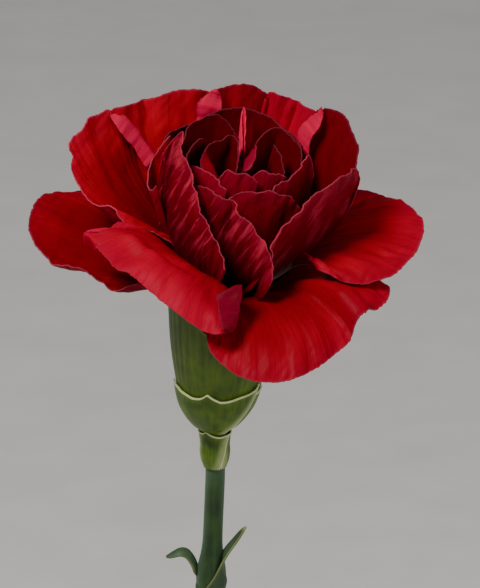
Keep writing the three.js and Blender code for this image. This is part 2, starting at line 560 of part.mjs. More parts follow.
    claw: 170, launch: 60, arrive: [90, 90, 90],
    ruffle: [0.1, 2, 1.3], cells: [5, 3],
    rim: [[-7, 25, 9], [-6.8, 26.4, 7], [-6.4, 28, 5.5], [-5, 29.6, 4], [-3.8, 30.2, 3], [-3.2, 30, 2]],
  },
  bladeBack: {
    claw: 270, launch: 82, arrive: [88, 88, 88],
    ring: 1, depth: 0, width: 0.6, ruffle: [0, 2, 1.3], cells: [4, 3],
    rim: [[4.2, 28, -1.5], [4.05, 32, -2.2], [4.05, 35.6, -2.7], [4.4, 36.8, -2.8], [4.75, 35.6, -2.7],
      [4.75, 32, -2.2], [4.6, 28, -1.5]],
  },
  sliverLeft: {
    claw: 200, launch: 40, arrive: [80, 70, 60],
    ruffle: [0.1, 2, 1.3], cells: [5, 3],
    rim: [[-10.4, 30.8, 5], [-11.8, 29.4, 5.5], [-13.4, 26.6, 6.5], [-14.2, 23.6, 7.5],
      [-14.7, 20.6, 8.5], [-14.1, 19.8, 9], [-13, 20.8, 9.5]],
  },
  guardBackLeft: { cells: [8, 3], ...fanPetal(138, 27, 34, 7, 45, -15, GUARD_ROOT) },
  guardBackRight: { cells: [8, 3], ...fanPetal(38, 34, 33, 5, 45, -25, GUARD_ROOT) },
  guardBack: { cells: [8, 3], ...fanPetal(93, 36, 35, 8, 45, -15, GUARD_ROOT) },
  midBackLeft: { cells: [7, 3], ...fanPetal(118, 30, 27, 19, 50, 50, MIDDLE_ROOT) },
  midBackRight: { cells: [7, 3], ...fanPetal(62, 30, 26, 18, 50, 45, MIDDLE_ROOT) },
};

/** A petal at the back, whose rim is an arc with a gentle wave, in the bloom's own frame. */
function fanPetal(claw, half, reach, rise, launch, arrive, root) {
  const rim = [];
  for (let n = 0; n <= 12; n += 1) {
    const t = n / 6 - 1;
    const turn = radians(claw - half * t);
    const radius = reach * (1 - 0.12 * t * t) + 0.6 * Math.sin(7 * t + claw);
    const height = rise - 3 * t * t + 0.8 * Math.sin(5 * t + 2 * claw);
    const sideways = mix([ACROSS, Math.cos(turn)], [BEHIND, Math.sin(turn)]);
    const point = mix([sideways, radius], [AXIS, height]);
    rim.push([point.dot(RIGHT), point.dot(UP), point.dot(FORWARD)]);
  }
  return { claw, launch, arrive, rim, ruffle: [0.5, 4, claw], ...root };
}

/** A level direction turned up by a pitch in degrees. */
function pitched(level, pitch) {
  return mix([level, Math.cos(radians(pitch))], [AXIS, Math.sin(radians(pitch))]);
}

/** The points of a petal: rays that leave the claw and bend over to the rim, with a ruffle. */
function petalGrid(petal, columns, rows) {
  const { claw, launch, arrive, ruffle, sweep = 0 } = petal;
  const { ring = 4, depth = 2, start = 0.4, width = CLAW_WIDTH } = petal;
  const rimCurve = new THREE.CatmullRomCurve3(petal.rim.map(fromMouth), false, 'centripetal');
  const rim = rimCurve.getSpacedPoints(columns);
  const turn = radians(claw);
  const sideways = mix([ACROSS, Math.cos(turn)], [BEHIND, Math.sin(turn)]);
  const root = mix([MOUTH, 1], [sideways, ring], [AXIS, -depth]);
  const spread = rim[columns].clone().sub(rim[0]);
  spread.addScaledVector(AXIS, -spread.dot(AXIS)).normalize();
  const grid = rim.map((rimPoint, i) => {
    const u = i / columns;
    const from = mix([root, 1], [spread, (u - 0.5) * width]);
    const outward = rimPoint.clone().sub(root);
    outward.addScaledVector(AXIS, -outward.dot(AXIS)).normalize();
    const swept = outward.clone().applyAxisAngle(AXIS, radians(valueAt(sweep, u)));
    const length = rimPoint.distanceTo(from);
    const ray = new THREE.CubicBezierCurve3(
      from,
      mix([from, 1], [pitched(swept, valueAt(launch, u)), valueAt(start, u) * length]),
      mix([rimPoint, 1], [pitched(outward, valueAt(arrive, u)), -RIM_HANDLE * length]),
      rimPoint,
    );
    return Array.from({ length: rows + 1 }, (_, j) => ray.getPoint(j / rows));
  });
  return ruffled(grid, ruffle);
}

/** A petal's points moved along its face by two waves that grow towards the rim. */
function ruffled(grid, [height, waves, phase]) {
  const last = [grid.length - 1, grid[0].length - 1];
  return grid.map((ray, i) => ray.map((point, j) => {
    const overRays = grid[Math.min(i + 1, last[0])][j].clone().sub(grid[Math.max(i - 1, 0)][j]);
    const alongRay = ray[Math.min(j + 1, last[1])].clone().sub(ray[Math.max(j - 1, 0)]);
    const normal = overRays.cross(alongRay).normalize();
    const u = i / last[0];
    const wave = Math.sin(2 * Math.PI * waves * u + phase)
      + 0.5 * Math.sin(3.8 * Math.PI * waves * u + 2.1 * phase + 1);
    return mix([point, 1], [normal, height * (j / last[1]) ** 3 * wave]);
  }));
}

/** The bundle of claws that fills the calyx and carries every petal. */
function clawBundle() {
  const inTube = [-26, -23, -20, -16].map((height) => [calyxRadius(height) - CALYX_WALL - 2 * GAP, height]);
  const head = [[7.8, -11], [7.4, -6], [7.2, -2], [7, 1], [6.4, 4], [4.6, 7], [0, 9]];
  const profile = [[0, -28], ...inTube, ...head];
  return bentLathe(profile, 20, (n, turn, radius) => {
    const height = profile[n][1];
    return mouthDip(turn, radius) * THREE.MathUtils.clamp((height - -20) / 14, 0, 1);
  });
}

/** The bloom: every petal, in its layers, grown from the bundle of claws. */
function bloom() {
  const sheets = Object.values(PETALS).map((petal) => {
    const [columns, rows] = petal.cells;
    return sheet(petalGrid(petal, columns, rows), PETAL_THICKNESS);
  });
  return fused([clawBundle(), ...sheets]);
}

// ---- the whole -------------------------------------------------------------------------
/** A named mesh with its own finish. */
function piece(name, geometry, color, roughness) {
  const mesh = new THREE.Mesh(geometry, new THREE.MeshStandardMaterial({ color, roughness, metalness: 0 }));
  mesh.name = name;
  return mesh;
}

const carnation = new THREE.Group();
carnation.add(
  piece('vase', vase(), 0xe9e4da, 0.3),
  piece('water', water(), 0xd8e8ea, 0.05),
  piece('stem', stem(), 0x51703a, 0.6),
  piece('lower_bracts', lowerBracts(), 0x66803a, 0.55),
  piece('upper_bracts', upperBracts(), 0x7d8a3c, 0.55),
  piece('calyx', calyx(), 0x5c7326, 0.5),
  piece('bloom', bloom(), 0xb80a1e, 0.6),
);

export default carnation;
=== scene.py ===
"""A cut carnation in a bud vase: the looks of every piece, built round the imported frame.

Sizes are in millimetres and become metres where a mesh is made. The frame has +Z up, its origin at the
middle of the vase's foot, +X to the right and -Y towards the viewer.
"""
from __future__ import annotations

import logging
import math
from dataclasses import dataclass
from enum import Enum
from typing import Callable, Sequence

import bmesh
import bpy
import numpy as np
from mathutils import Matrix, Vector

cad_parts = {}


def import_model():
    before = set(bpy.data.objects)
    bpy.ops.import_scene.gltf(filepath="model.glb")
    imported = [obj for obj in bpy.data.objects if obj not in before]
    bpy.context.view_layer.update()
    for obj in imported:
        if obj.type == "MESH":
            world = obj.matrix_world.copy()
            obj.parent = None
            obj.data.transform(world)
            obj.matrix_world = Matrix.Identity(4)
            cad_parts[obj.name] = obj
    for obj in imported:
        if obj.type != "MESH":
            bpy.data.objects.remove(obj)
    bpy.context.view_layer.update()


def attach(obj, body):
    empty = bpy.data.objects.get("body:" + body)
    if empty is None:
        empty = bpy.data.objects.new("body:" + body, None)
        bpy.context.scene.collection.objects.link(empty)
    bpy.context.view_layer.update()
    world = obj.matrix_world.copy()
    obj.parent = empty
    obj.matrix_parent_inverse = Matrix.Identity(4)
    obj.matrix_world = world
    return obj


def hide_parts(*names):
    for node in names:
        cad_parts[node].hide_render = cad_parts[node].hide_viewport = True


log = logging.getLogger("carnation")

Array = np.ndarray
Material = bpy.types.Material
Node = bpy.types.Node
Piece = bpy.types.Object
Point = tuple[float, float, float]
Profile = tuple[tuple[float, float], ...]
Socket = bpy.types.NodeSocket
Tree = bpy.types.NodeTree
Values = float | Sequence[float]

MM = 0.001
IMAGE_HEIGHT_MM = 117.6  # what the picture's 588 pixels show, at 0.2 mm each
SENSOR_MM = 36.0
VIEW_RISE = math.radians(20)  # the viewer looks down by this much
BLOOM_LEAN = math.radians(14)  # the bloom nods to the right

MOUTH = np.array([10.0, 0.0, 250.0])  # the middle of the calyx mouth
RIGHT = np.array([1.0, 0.0, 0.0])
UP = np.array([0.0, math.sin(VIEW_RISE), math.cos(VIEW_RISE)])
FORWARD = np.array([0.0, -math.cos(VIEW_RISE), math.sin(VIEW_RISE)])
AXIS = np.array([math.sin(BLOOM_LEAN), 0.0, math.cos(BLOOM_LEAN)])
ACROSS = np.array([math.cos(BLOOM_LEAN), 0.0, -math.sin(BLOOM_LEAN)])
BEHIND = np.array([0.0, 1.0, 0.0])


# ---- small helpers ---------------------------------------------------------------------------
def srgb(hex_colour: str) -> tuple[float, float, float, float]:
    """Turn an sRGB colour into a linear one.

    Args:
        hex_colour: its six hex digits.

    Returns:
        Red, green, blue and an alpha of 1.
    """
    parts = [int(hex_colour[i:i + 2], 16) / 255 for i in (0, 2, 4)]
    red, green, blue = [c / 12.92 if c <= 0.04045 else ((c + 0.055) / 1.055) ** 2.4 for c in parts]
    return red, green, blue, 1.0


def unit(vectors: Array) -> Array:
    """Scale vectors, which lie along the last axis, to length 1."""
    return vectors / np.maximum(np.linalg.norm(vectors, axis=-1, keepdims=True), 1e-9)


def from_axis(vectors: Array) -> Array:
    """Give the part of vectors that is square to the bloom's axis, at length 1."""
    return unit(vectors - (vectors @ AXIS)[..., None] * AXIS)


def round_axis(turn: float, radius: float) -> Array:
    """Give the way from the bloom's axis to a radius at a turn round it, in radians."""
    return radius * (math.cos(turn) * ACROSS + math.sin(turn) * BEHIND)


def from_mouth(point: Sequence[float]) -> Array:
    """Place a point given as millimetres right, up and forward of the calyx mouth."""
    right, up, forward = point
    return MOUTH + right * RIGHT + up * UP + forward * FORWARD


def spread_over(values: Values, places: Array) -> Array:
    """Read a value, or a list of evenly spaced values, at places from 0 to 1.

    Args:
        values: one number, or the numbers at evenly spaced places.
        places: where to read, each from 0 to 1.

    Returns:
        One number for each place.
    """
    listed = np.atleast_1d(np.asarray(values, float))
    if len(listed) == 1:
        return np.full_like(places, listed[0])
    return np.interp(places, np.linspace(0, 1, len(listed)), listed)


def smooth_step(low: float, high: float, places: Array) -> Array:
    """Rise smoothly from 0 at low to 1 at high."""
    t = np.clip((places - low) / (high - low), 0, 1)
    return t * t * (3 - 2 * t)


def lengths_along(points: Array) -> Array:
    """Give how far along a line each of its points is."""
    return np.concatenate([[0], np.cumsum(np.linalg.norm(np.diff(points, axis=0), axis=1))])


def smooth_line(points: Array, count: int) -> Array:
    """Sample a centripetal Catmull-Rom curve through points at even steps of length.

    Args:
        points: the points that the curve passes through, in order.
        count: how many samples to give.

    Returns:
        The samples, first and last point included.
    """
    steps = np.sqrt(np.linalg.norm(np.diff(points, axis=0), axis=1))
    knots = np.concatenate([[0], np.cumsum(steps)])
    padded = np.vstack([2 * points[0] - points[1], points, 2 * points[-1] - points[-2]])
    times = np.concatenate([[-steps[0]], knots, [knots[-1] + steps[-1]]])
    dense = []
    for k in range(len(points) - 1):
        s = np.linspace(knots[k], knots[k + 1], 24, endpoint=k == len(points) - 2)[:, None]
        p, t = padded[k:k + 4], times[k:k + 4]
        a = [((t[i + 1] - s) * p[i] + (s - t[i]) * p[i + 1]) / (t[i + 1] - t[i]) for i in range(3)]
        b = [((t[i + 2] - s) * a[i] + (s - t[i]) * a[i + 1]) / (t[i + 2] - t[i]) for i in range(2)]
        dense.append(((t[2] - s) * b[0] + (s - t[1]) * b[1]) / (t[2] - t[1]))
    line = np.vstack(dense)
    length = lengths_along(line)
    places = np.linspace(0, length[-1], count)
    return np.stack([np.interp(places, length, line[:, k]) for k in range(line.shape[1])], axis=1)


def mouth_line(points: Sequence[Point], count: int) -> Array:
    """Sample a smooth curve through points right, up and forward of the calyx mouth."""
    return smooth_line(np.array([from_mouth(point) for point in points]), count)


# ---- node trees ------------------------------------------------------------------------------
def feed(tree: Tree, made: Node, inputs: dict[str | int, object]) -> None:
    """Set a node's inputs, by name or index.

    Args:
        tree: the node tree.
        made: the node.
        inputs: for each input a value, the socket that feeds it, or the node whose first output does.
    """
    for key, value in inputs.items():
        source = value.outputs[0] if isinstance(value, Node) else value
        if isinstance(source, Socket):
            tree.links.new(source, made.inputs[key])
        else:
            made.inputs[key].default_value = source


def node(tree: Tree, kind: str, inputs: dict[str | int, object] | None = None, **settings: object) -> Node:
    """Add a node with its settings and links.

    Args:
        tree: the node tree that gets the node.
        kind: the node's type name.
        inputs: what its inputs are set to or fed by, as feed takes them.
        settings: the node's own properties.

    Returns:
        The new node.
    """
    made = tree.nodes.new(kind)
    for name, value in settings.items():
        setattr(made, name, value)
    feed(tree, made, inputs or {})
    return made


def colour_steps(ramp: Node, *steps: tuple[float, str]) -> Node:
    """Fill a colour ramp.

    Args:
        ramp: the Color Ramp node.
        steps: places from 0 to 1, each with its hex colour.

    Returns:
        The same node.
    """
    elements = ramp.color_ramp.elements
    elements.remove(elements[1])
    elements[0].position = steps[0][0]
    elements[0].color = srgb(steps[0][1])
    for place, colour in steps[1:]:
        elements.new(place).color = srgb(colour)
    return ramp


def empty_material(name: str) -> tuple[Material, Tree]:
    """Start a material on the Principled shader.

    Args:
        name: the finish's name.

    Returns:
        The material and its node tree.
    """
    material = bpy.data.materials.new(name)
    material.use_nodes = True
    return material, material.node_tree


def new_tree(name: str, inputs: dict[str, str]) -> tuple[Tree, bpy.types.NodeOutputs]:
    """Start a Geometry Nodes tree with the inputs Geometry and Finish, and those named.

    Args:
        name: the tree's name.
        inputs: the name and the kind of each further input.

    Returns:
        The tree, and its inputs as sockets, by name.
    """
    tree = bpy.data.node_groups.new(name, "GeometryNodeTree")
    tree.is_modifier = True
    for socket, kind in {"Geometry": "Geometry", **inputs, "Finish": "Material"}.items():
        tree.interface.new_socket(socket, in_out="INPUT", socket_type=f"NodeSocket{kind}")
    tree.interface.new_socket("Geometry", in_out="OUTPUT", socket_type="NodeSocketGeometry")
    return tree, node(tree, "NodeGroupInput").outputs


def ended(tree: Tree, geometry: Node, finish: Socket) -> Tree:
    """End a tree with smooth faces, real geometry and its material.

    Args:
        tree: the tree.
        geometry: the node that gives what it has made.
        finish: the material input.

    Returns:
        The same tree.
    """
    smooth = node(tree, "GeometryNodeSetShadeSmooth", {"Geometry": geometry})
    real = node(tree, "GeometryNodeRealizeInstances", {"Geometry": smooth})
    dressed = node(tree, "GeometryNodeSetMaterial", {"Geometry": real, "Material": finish})
    node(tree, "NodeGroupOutput", {"Geometry": dressed})
    return tree


# ---- meshes ----------------------------------------------------------------------------------
def link(piece: Piece) -> Piece:
    """Put an object into the scene."""
    bpy.context.collection.objects.link(piece)
    return piece


def set_layers(mesh: bpy.types.Mesh, layers: dict[str, Array]) -> None:
    """Store point attributes.

    Args:
        mesh: the mesh.
        layers: the values of each attribute, as vectors where they have three axes.
    """
    for name, values in layers.items():
        is_vector = values.ndim == 3
        attribute = mesh.attributes.new(name, "FLOAT_VECTOR" if is_vector else "FLOAT", "POINT")
        attribute.data.foreach_set("vector" if is_vector else "value", values.astype(np.float32).ravel())


def settle(piece: Piece) -> Piece:
    """Turn a piece's modifiers into plain mesh, with no modifier left on it.

    Args:
        piece: a mesh object.

    Returns:
        The same piece, holding the evaluated mesh.
    """
    graph = bpy.context.evaluated_depsgraph_get()
    mesh = bpy.data.meshes.new_from_object(piece.evaluated_get(graph), preserve_all_data_layers=True,
                                           depsgraph=graph)
    piece.modifiers.clear()
    old, piece.data = piece.data, mesh
    mesh.name = piece.name
    bpy.data.meshes.remove(old)
    return piece


def shaped(name: str, mesh: bpy.types.Mesh, finishes: Sequence[Material], tree: Tree | None = None,
           values: dict[str, object] | None = None) -> Piece:
    """Make an object from a mesh and put a Geometry Nodes tree on it.

    Args:
        name: the object's name.
        mesh: its mesh.
        finishes: its materials, in the order of its slots.
        tree: the tree, if any, whose Finish is the first material.
        values: the tree's other inputs, by name.

    Returns:
        The object, with the tree's modifier still live.
    """
    for finish in finishes:
        mesh.materials.append(finish)
    piece = link(bpy.data.objects.new(name, mesh))
    if tree:
        modifier = piece.modifiers.new(tree.name, "NODES")
        modifier.node_group = tree
        values = {**(values or {}), "Finish": finishes[0]}
        for item in tree.interface.items_tree:
            if item.item_type == "SOCKET" and item.in_out == "INPUT" and item.name in values:
                modifier[item.identifier] = values[item.name]
    return piece


def shell(name: str, points: Array, layers: dict[str, Array], finishes: Sequence[Material], wall: float,
          side: float = 0.0, closed_round: bool = False, tree: Tree | None = None,
          values: dict[str, object] | None = None) -> Piece:
    """Make a settled piece from a grid of points.

    Args:
        name: the piece's name.
        points: rows by columns by 3, in millimetres. Normals point along rows cross columns.
        layers: point attributes, each rows by columns, or rows by columns by 3.
        finishes: one material, or those of the near side, the far side and the rim.
        wall: its thickness in millimetres, or 0 for none.
        side: -1 puts the wall behind the grid, 0 half on each side.
        closed_round: joins the last row to the first.
        tree: the Geometry Nodes tree that shapes the grid first.
        values: the tree's inputs, by name.

    Returns:
        The piece.
    """
    rows, columns = points.shape[:2]
    faces = []
    for i in range(rows if closed_round else rows - 1):
        for j in range(columns - 1):
            here, there = i * columns + j, (i + 1) % rows * columns + j
            faces.append((here, there, there + 1, here + 1))
    mesh = bpy.data.meshes.new(name)
    mesh.from_pydata((points.reshape(-1, 3) * MM).tolist(), [], faces)
    set_layers(mesh, layers)
    mesh.polygons.foreach_set("use_smooth", [True] * len(faces))
    piece = shaped(name, mesh, finishes, tree, values)
    if wall:
        solid = piece.modifiers.new("wall", "SOLIDIFY")
        solid.thickness = wall * MM
        solid.offset = side
        solid.use_even_offset = False
        solid.material_offset, solid.material_offset_rim = (1, 2) if len(finishes) == 3 else (0, 0)
    return settle(piece)


def from_line(name: str, points: Array, finish: Material, tree: Tree, sides: int,
              layers: dict[str, Array] | None = None) -> Piece:
    """Make a settled piece from a line, by a tree that takes Sides and Finish.

    Args:
        name: the piece's name.
        points: the line's points, in millimetres.
        finish: its material.
        tree: the tree.
        sides: how many sides the round piece gets.
        layers: numbers for each point of the line, by attribute.

    Returns:
        The piece.
    """
    mesh = bpy.data.meshes.new(name)
    mesh.from_pydata((points * MM).tolist(), [(i, i + 1) for i in range(len(points) - 1)], [])
    set_layers(mesh, layers or {})
    return settle(shaped(name, mesh, [finish], tree, {"Sides": sides}))


def joined(name: str, parts: Sequence[Piece]) -> Piece:
    """Join meshes into one piece.

    Args:
        name: the piece's name.
        parts: settled mesh objects, all with the same slots.

    Returns:
        The piece.
    """
    whole = parts[0]
    if len(parts) > 1:
        with bpy.context.temp_override(active_object=whole, selected_editable_objects=list(parts),
                                       object=whole, selected_objects=list(parts)):
            bpy.ops.object.join()
    whole.name = whole.data.name = name
    return whole


def mended(piece: Piece, open_ends: bool = False) -> Piece:
    """Turn a mesh's faces outward, once it is closed.

    Args:
        piece: the mesh object.
        open_ends: true to fill its open ends, false to drop its faces of no area.

    Returns:
        The same piece.
    """
    work = bmesh.new()
    work.from_mesh(piece.data)
    if open_ends:
        bmesh.ops.holes_fill(work, edges=[edge for edge in work.edges if edge.is_boundary])
    else:
        bmesh.ops.dissolve_degenerate(work, edges=work.edges[:], dist=1e-7)
    bmesh.ops.recalc_face_normals(work, faces=work.faces[:])
    work.to_mesh(piece.data)
    work.free()
    return piece


# ---- finishes --------------------------------------------------------------------------------
class PetalSide(Enum):
    """Which side of a petal a finish is for."""

    INSIDE = "inside"
    OUTSIDE = "outside"
    EDGE = "edge"


@dataclass(frozen=True)
class PetalFinish:
    """Living carnation petal: thin, velvety and a little translucent.

    The tiny domed cells of the skin give a soft sheen at a slant and a saturated colour head on. Veins fan
    out from the claw, and the underside is cooler and duller than the face.
    """

    side: PetalSide
    claw: str
    middle: str
    limb: str
    margin: str
    rim: str
    # the pink that blush mixes in: partly the petal's own crimson, partly a painted highlight
    blush_and_highlight_pink: str
    sheen: float = 0.04
    # colour of the painted highlight on the crumple ridges
    painted_crumple_highlight: str = "B42A40"
    vein_spacing: float = 0.42  # millimetres between veins near the rim

    def material(self) -> Material:
        """Build the material.

        Returns:
            The petal material for this side.
        """
        material, tree = empty_material(f"petal_{self.side.value}")
        read = {name: node(tree, "ShaderNodeAttribute", attribute_name=name).outputs["Fac"]
                for name in ("v", "span", "seed", "tone", "blush", "crepe")}
        # the colours darken towards the claw: painted shade deep in the bloom
        ramp = colour_steps(node(tree, "ShaderNodeValToRGB", {"Fac": read["v"]}), (0.0, self.claw),
                            (0.5, self.middle), (0.85, self.limb), (0.988, self.margin), (1.0, self.rim))
        fan = node(tree, "ShaderNodeCombineXYZ", {0: read["span"], 1: read["v"], 2: read["seed"]})
        fine = node(tree, "ShaderNodeVectorMath", {0: fan, 1: (1 / self.vein_spacing, 5.0, 1.0)},
                    operation="MULTIPLY")
        veins = node(tree, "ShaderNodeTexNoise", {"Vector": fine, "Scale": 1.0, "Detail": 3.0,
                                                  "Roughness": 0.6})
        broad = node(tree, "ShaderNodeVectorMath", {0: fan, 1: (0.15, 3.5, 1.0)}, operation="MULTIPLY")
        patches = node(tree, "ShaderNodeTexNoise", {"Vector": broad, "Scale": 1.0, "Detail": 2.0})
        shade = node(tree, "ShaderNodeMapRange", {"Value": veins, "From Min": 0.3, "From Max": 0.7,
                                                  "To Min": 0.9, "To Max": 1.08})
        patch = node(tree, "ShaderNodeMapRange", {"Value": patches, "From Min": 0.3, "From Max": 0.7,
                                                  "To Min": 0.82, "To Max": 1.06})
        light = node(tree, "ShaderNodeMath", {0: shade, 1: patch}, operation="MULTIPLY")
        # the petal's tone paints light and shade into its colour
        light = node(tree, "ShaderNodeMath", {0: light, 1: read["tone"]}, operation="MULTIPLY")
        face = node(tree, "ShaderNodeMix", {"Factor": read["blush"], 6: ramp, 7: srgb(self.blush_and_highlight_pink)},
                    data_type="RGBA")
        lit = node(tree, "ShaderNodeVectorMath", {0: face.outputs[2], "Scale": light}, operation="SCALE")
        slanted = node(tree, "ShaderNodeAttribute", attribute_name="crepe_at").outputs["Vector"]
        crease = node(tree, "ShaderNodeTexNoise", {"Vector": slanted, "Scale": 1.0, "Detail": 2.0})
        ridge = node(tree, "ShaderNodeMapRange", {"Value": crease, "From Min": 0.5, "From Max": 0.68})
        # the crumple ridges raise a bump and get a painted highlight in the paler colour
        crumple_relief_and_painted_highlight = node(tree, "ShaderNodeMath", {0: ridge, 1: read["crepe"]}, operation="MULTIPLY")
        coloured = node(tree, "ShaderNodeMix", {"Factor": crumple_relief_and_painted_highlight, 6: lit, 7: srgb(self.painted_crumple_highlight)},
                        data_type="RGBA")
        height = node(tree, "ShaderNodeMath", {0: crumple_relief_and_painted_highlight, 1: 4.0, 2: veins}, operation="MULTIPLY_ADD")
        relief = node(tree, "ShaderNodeBump", {"Strength": 0.7, "Distance": 0.14 * MM, "Height": height})
        feed(tree, tree.nodes["Principled BSDF"], {
            "Base Color": coloured.outputs[2],
            "Roughness": node(tree, "ShaderNodeMapRange", {"Value": veins, "To Min": 0.34, "To Max": 0.56}),
            "Normal": relief,
            "IOR": 1.38,  # wet plant tissue
            "Specular IOR Level": 0.06,
            "Sheen Weight": node(tree, "ShaderNodeMath", {0: read["tone"], 1: self.sheen},
                                 operation="MULTIPLY"),
            "Sheen Roughness": 0.35,
            "Sheen Tint": srgb("FF3050"),
            "Subsurface Weight": 0.2,
            "Subsurface Radius": (1.0, 0.08, 0.06),
            "Subsurface Scale": 0.8 * MM,
        })
        return material


@dataclass(frozen=True)
class GreenFinish:
    """Living green tissue: waxy, with lengthwise streaks and paler edges.

    A thin wax gives the stem and bracts a bluish-grey bloom. On the stem it is painted thickest along the
    sides seen at a slant, as a painted sheen. Streaks follow the veins.
    """

    name: str
    deep: str
    light: str
    edge: str
    wax_and_painted_sheen: str
    # colour of the painted shade under a bract's rim
    shade: str = "0E2008"
    streak_spacing: float = 0.9  # millimetres between streaks
    roughness: float = 0.45

    def material(self) -> Material:
        """Build the material.

        Returns:
            The green material, streaked along attribute "v", paled by attribute "edge" and darkened by
            painted shade from its shade attribute.
        """
        material, tree = empty_material(self.name)
        read = {name: node(tree, "ShaderNodeAttribute", attribute_name=name).outputs["Fac"]
                for name in ("v", "span", "wax_and_painted_sheen", "painted_shade", "edge")}
        place = node(tree, "ShaderNodeCombineXYZ", {0: read["span"], 1: read["v"]})
        fine = node(tree, "ShaderNodeVectorMath", {0: place, 1: (1 / self.streak_spacing, 1.2, 1.0)},
                    operation="MULTIPLY")
        streaks = node(tree, "ShaderNodeTexNoise", {"Vector": fine, "Scale": 1.0, "Detail": 4.0})
        where = node(tree, "ShaderNodeTexCoord").outputs["Object"]
        mottle = node(tree, "ShaderNodeTexNoise", {"Vector": where, "Scale": 260.0, "Detail": 3.0})
        tone = node(tree, "ShaderNodeMath", {0: streaks, 1: mottle}, operation="ADD")
        share = node(tree, "ShaderNodeMapRange", {"Value": tone, "From Min": 0.75, "From Max": 1.25})
        colour = colour_steps(node(tree, "ShaderNodeValToRGB", {"Fac": share}),
                              (0.0, self.deep), (1.0, self.light)).outputs[0]
        for layer, over in (("wax_and_painted_sheen", self.wax_and_painted_sheen), ("painted_shade", self.shade), ("edge", self.edge)):
            colour = node(tree, "ShaderNodeMix", {"Factor": read[layer], 6: colour, 7: srgb(over)},
                          data_type="RGBA").outputs[2]
        relief = node(tree, "ShaderNodeBump", {"Strength": 0.4, "Distance": 0.1 * MM, "Height": streaks})
        feed(tree, tree.nodes["Principled BSDF"], {
            "Base Color": colour,
            "Roughness": node(tree, "ShaderNodeMapRange", {
                "Value": streaks, "To Min": self.roughness - 0.08, "To Max": self.roughness + 0.12}),
            "Normal": relief,
            "IOR": 1.42,  # plant wax
            "Specular IOR Level": 0.3,
            "Subsurface Weight": 0.1,
            "Subsurface Radius": (0.3, 1.0, 0.1),
            "Subsurface Scale": 1.0 * MM,
        })
        return material


@dataclass(frozen=True)
class GlazeFinish:
    """Off-white stoneware under a soft clear glaze: faint speckle, wide soft highlights."""

    body: str = "DFD9CC"
    cloud: str = "D8D1C2"
    speck: str = "9C8F7C"
    speck_spacing: float = 1.6  # millimetres

    def material(self) -> Material:
        """Build the material.

        Returns:
            The glaze, whose specks and clouds lie by the place on the vase.
        """
        material, tree = empty_material("glazed_stoneware")
        where = node(tree, "ShaderNodeTexCoord").outputs["Object"]
        cells = node(tree, "ShaderNodeTexVoronoi", {"Vector": where, "Scale": 1 / (self.speck_spacing * MM)})
        dots = node(tree, "ShaderNodeMapRange", {"Value": cells.outputs["Distance"], "From Min": 0.07,
                                                 "From Max": 0.14, "To Min": 0.55, "To Max": 0.0})
        cloud = node(tree, "ShaderNodeTexNoise", {"Vector": where, "Scale": 45.0, "Detail": 3.0})
        tone = colour_steps(node(tree, "ShaderNodeValToRGB", {"Fac": cloud}), (0.35, self.cloud),
                            (0.65, self.body))
        mixed = node(tree, "ShaderNodeMix", {"Factor": dots, 6: tone, 7: srgb(self.speck)}, data_type="RGBA")
        ripple = node(tree, "ShaderNodeBump", {"Strength": 0.12, "Distance": 0.4 * MM, "Height": cloud})
        feed(tree, tree.nodes["Principled BSDF"], {
            "Base Color": mixed.outputs[2],
            "Roughness": node(tree, "ShaderNodeMapRange", {"Value": cloud, "To Min": 0.22, "To Max": 0.36}),
            "Normal": ripple,
            "Coat Weight": 0.6,
            "Coat Roughness": 0.12,
        })
        return material


@dataclass(frozen=True)
class CloudedFinish:
    """A plain surface whose colour drifts faintly: still tap water, or a studio's matt pale floor."""

    name: str
    deep: tuple[float, str]
    pale: tuple[float, str]
    cloud_scale: float
    roughness: float
    clearness: float = 0.0
    ior: float = 1.5

    def material(self) -> Material:
        """Build the material.

        Returns:
            The material, whose colour drifts by the place on the piece.
        """
        material, tree = empty_material(self.name)
        where = node(tree, "ShaderNodeTexCoord").outputs["Object"]
        drift = node(tree, "ShaderNodeTexNoise", {"Vector": where, "Scale": self.cloud_scale})
        cast = colour_steps(node(tree, "ShaderNodeValToRGB", {"Fac": drift}), self.deep, self.pale)
        feed(tree, tree.nodes["Principled BSDF"], {
            "Base Color": cast,
            "Roughness": self.roughness,
            "Transmission Weight": self.clearness,
            "IOR": self.ior,
        })
        return material


# The dark claw and middle colours paint the shade deep in the bloom.
PETAL_FINISHES = (
    PetalFinish(PetalSide.INSIDE, "300006", "740008", "98000E", "9A041A", "983044", "9E0226"),
    PetalFinish(PetalSide.OUTSIDE, "200004", "480008", "760012", "8A0A20", "943044", "AE1236", sheen=0.1),
    PetalFinish(PetalSide.EDGE, "700008", "880C18", "902030", "A02C3E", "A83C4C", "A02038"),
)
CALYX_GREEN = GreenFinish("calyx_green", "34480A", "4E6410", "8C9A48", "6F8A5A")
BRACT_GREEN = GreenFinish("bract_green", "38500C", "58700F", "C4CA94", "6F8A5A")
STEM_GREEN = GreenFinish("stem_green", "0E1E06", "24400E", "8A8450", "526852", roughness=0.5)
# clear tap water, with a faint green cast from the stem
STILL_WATER = CloudedFinish("still_water", (0.3, "E4F0EA"), (0.7, "F2F8F6"), 60.0, 0.02, 1.0, 1.333)
# plain matt board, pale and a little warm
STUDIO_FLOOR = CloudedFinish("studio_floor", (0.3, "D3D0CA"), (0.7, "D9D6D0"), 40.0, 0.7)


# ---- bloom -----------------------------------------------------------------------------------
class Layer(Enum):
    """Where a petal sits in the bloom, from the outside in."""

    GUARD = "guard_petals"
    REAR = "rear_petals"
    WING = "wing_petals"
    CUP = "cup_petals"
    HEART = "heart_petals"


@dataclass(frozen=True)
class Root:
    """Where a petal leaves the bundle of claws, and how long its handles are against its length."""

    ring: float = 4.0
    depth: float = 2.0
    start: Values = 0.4
    end: Values = 0.35
    width: float = 4.0


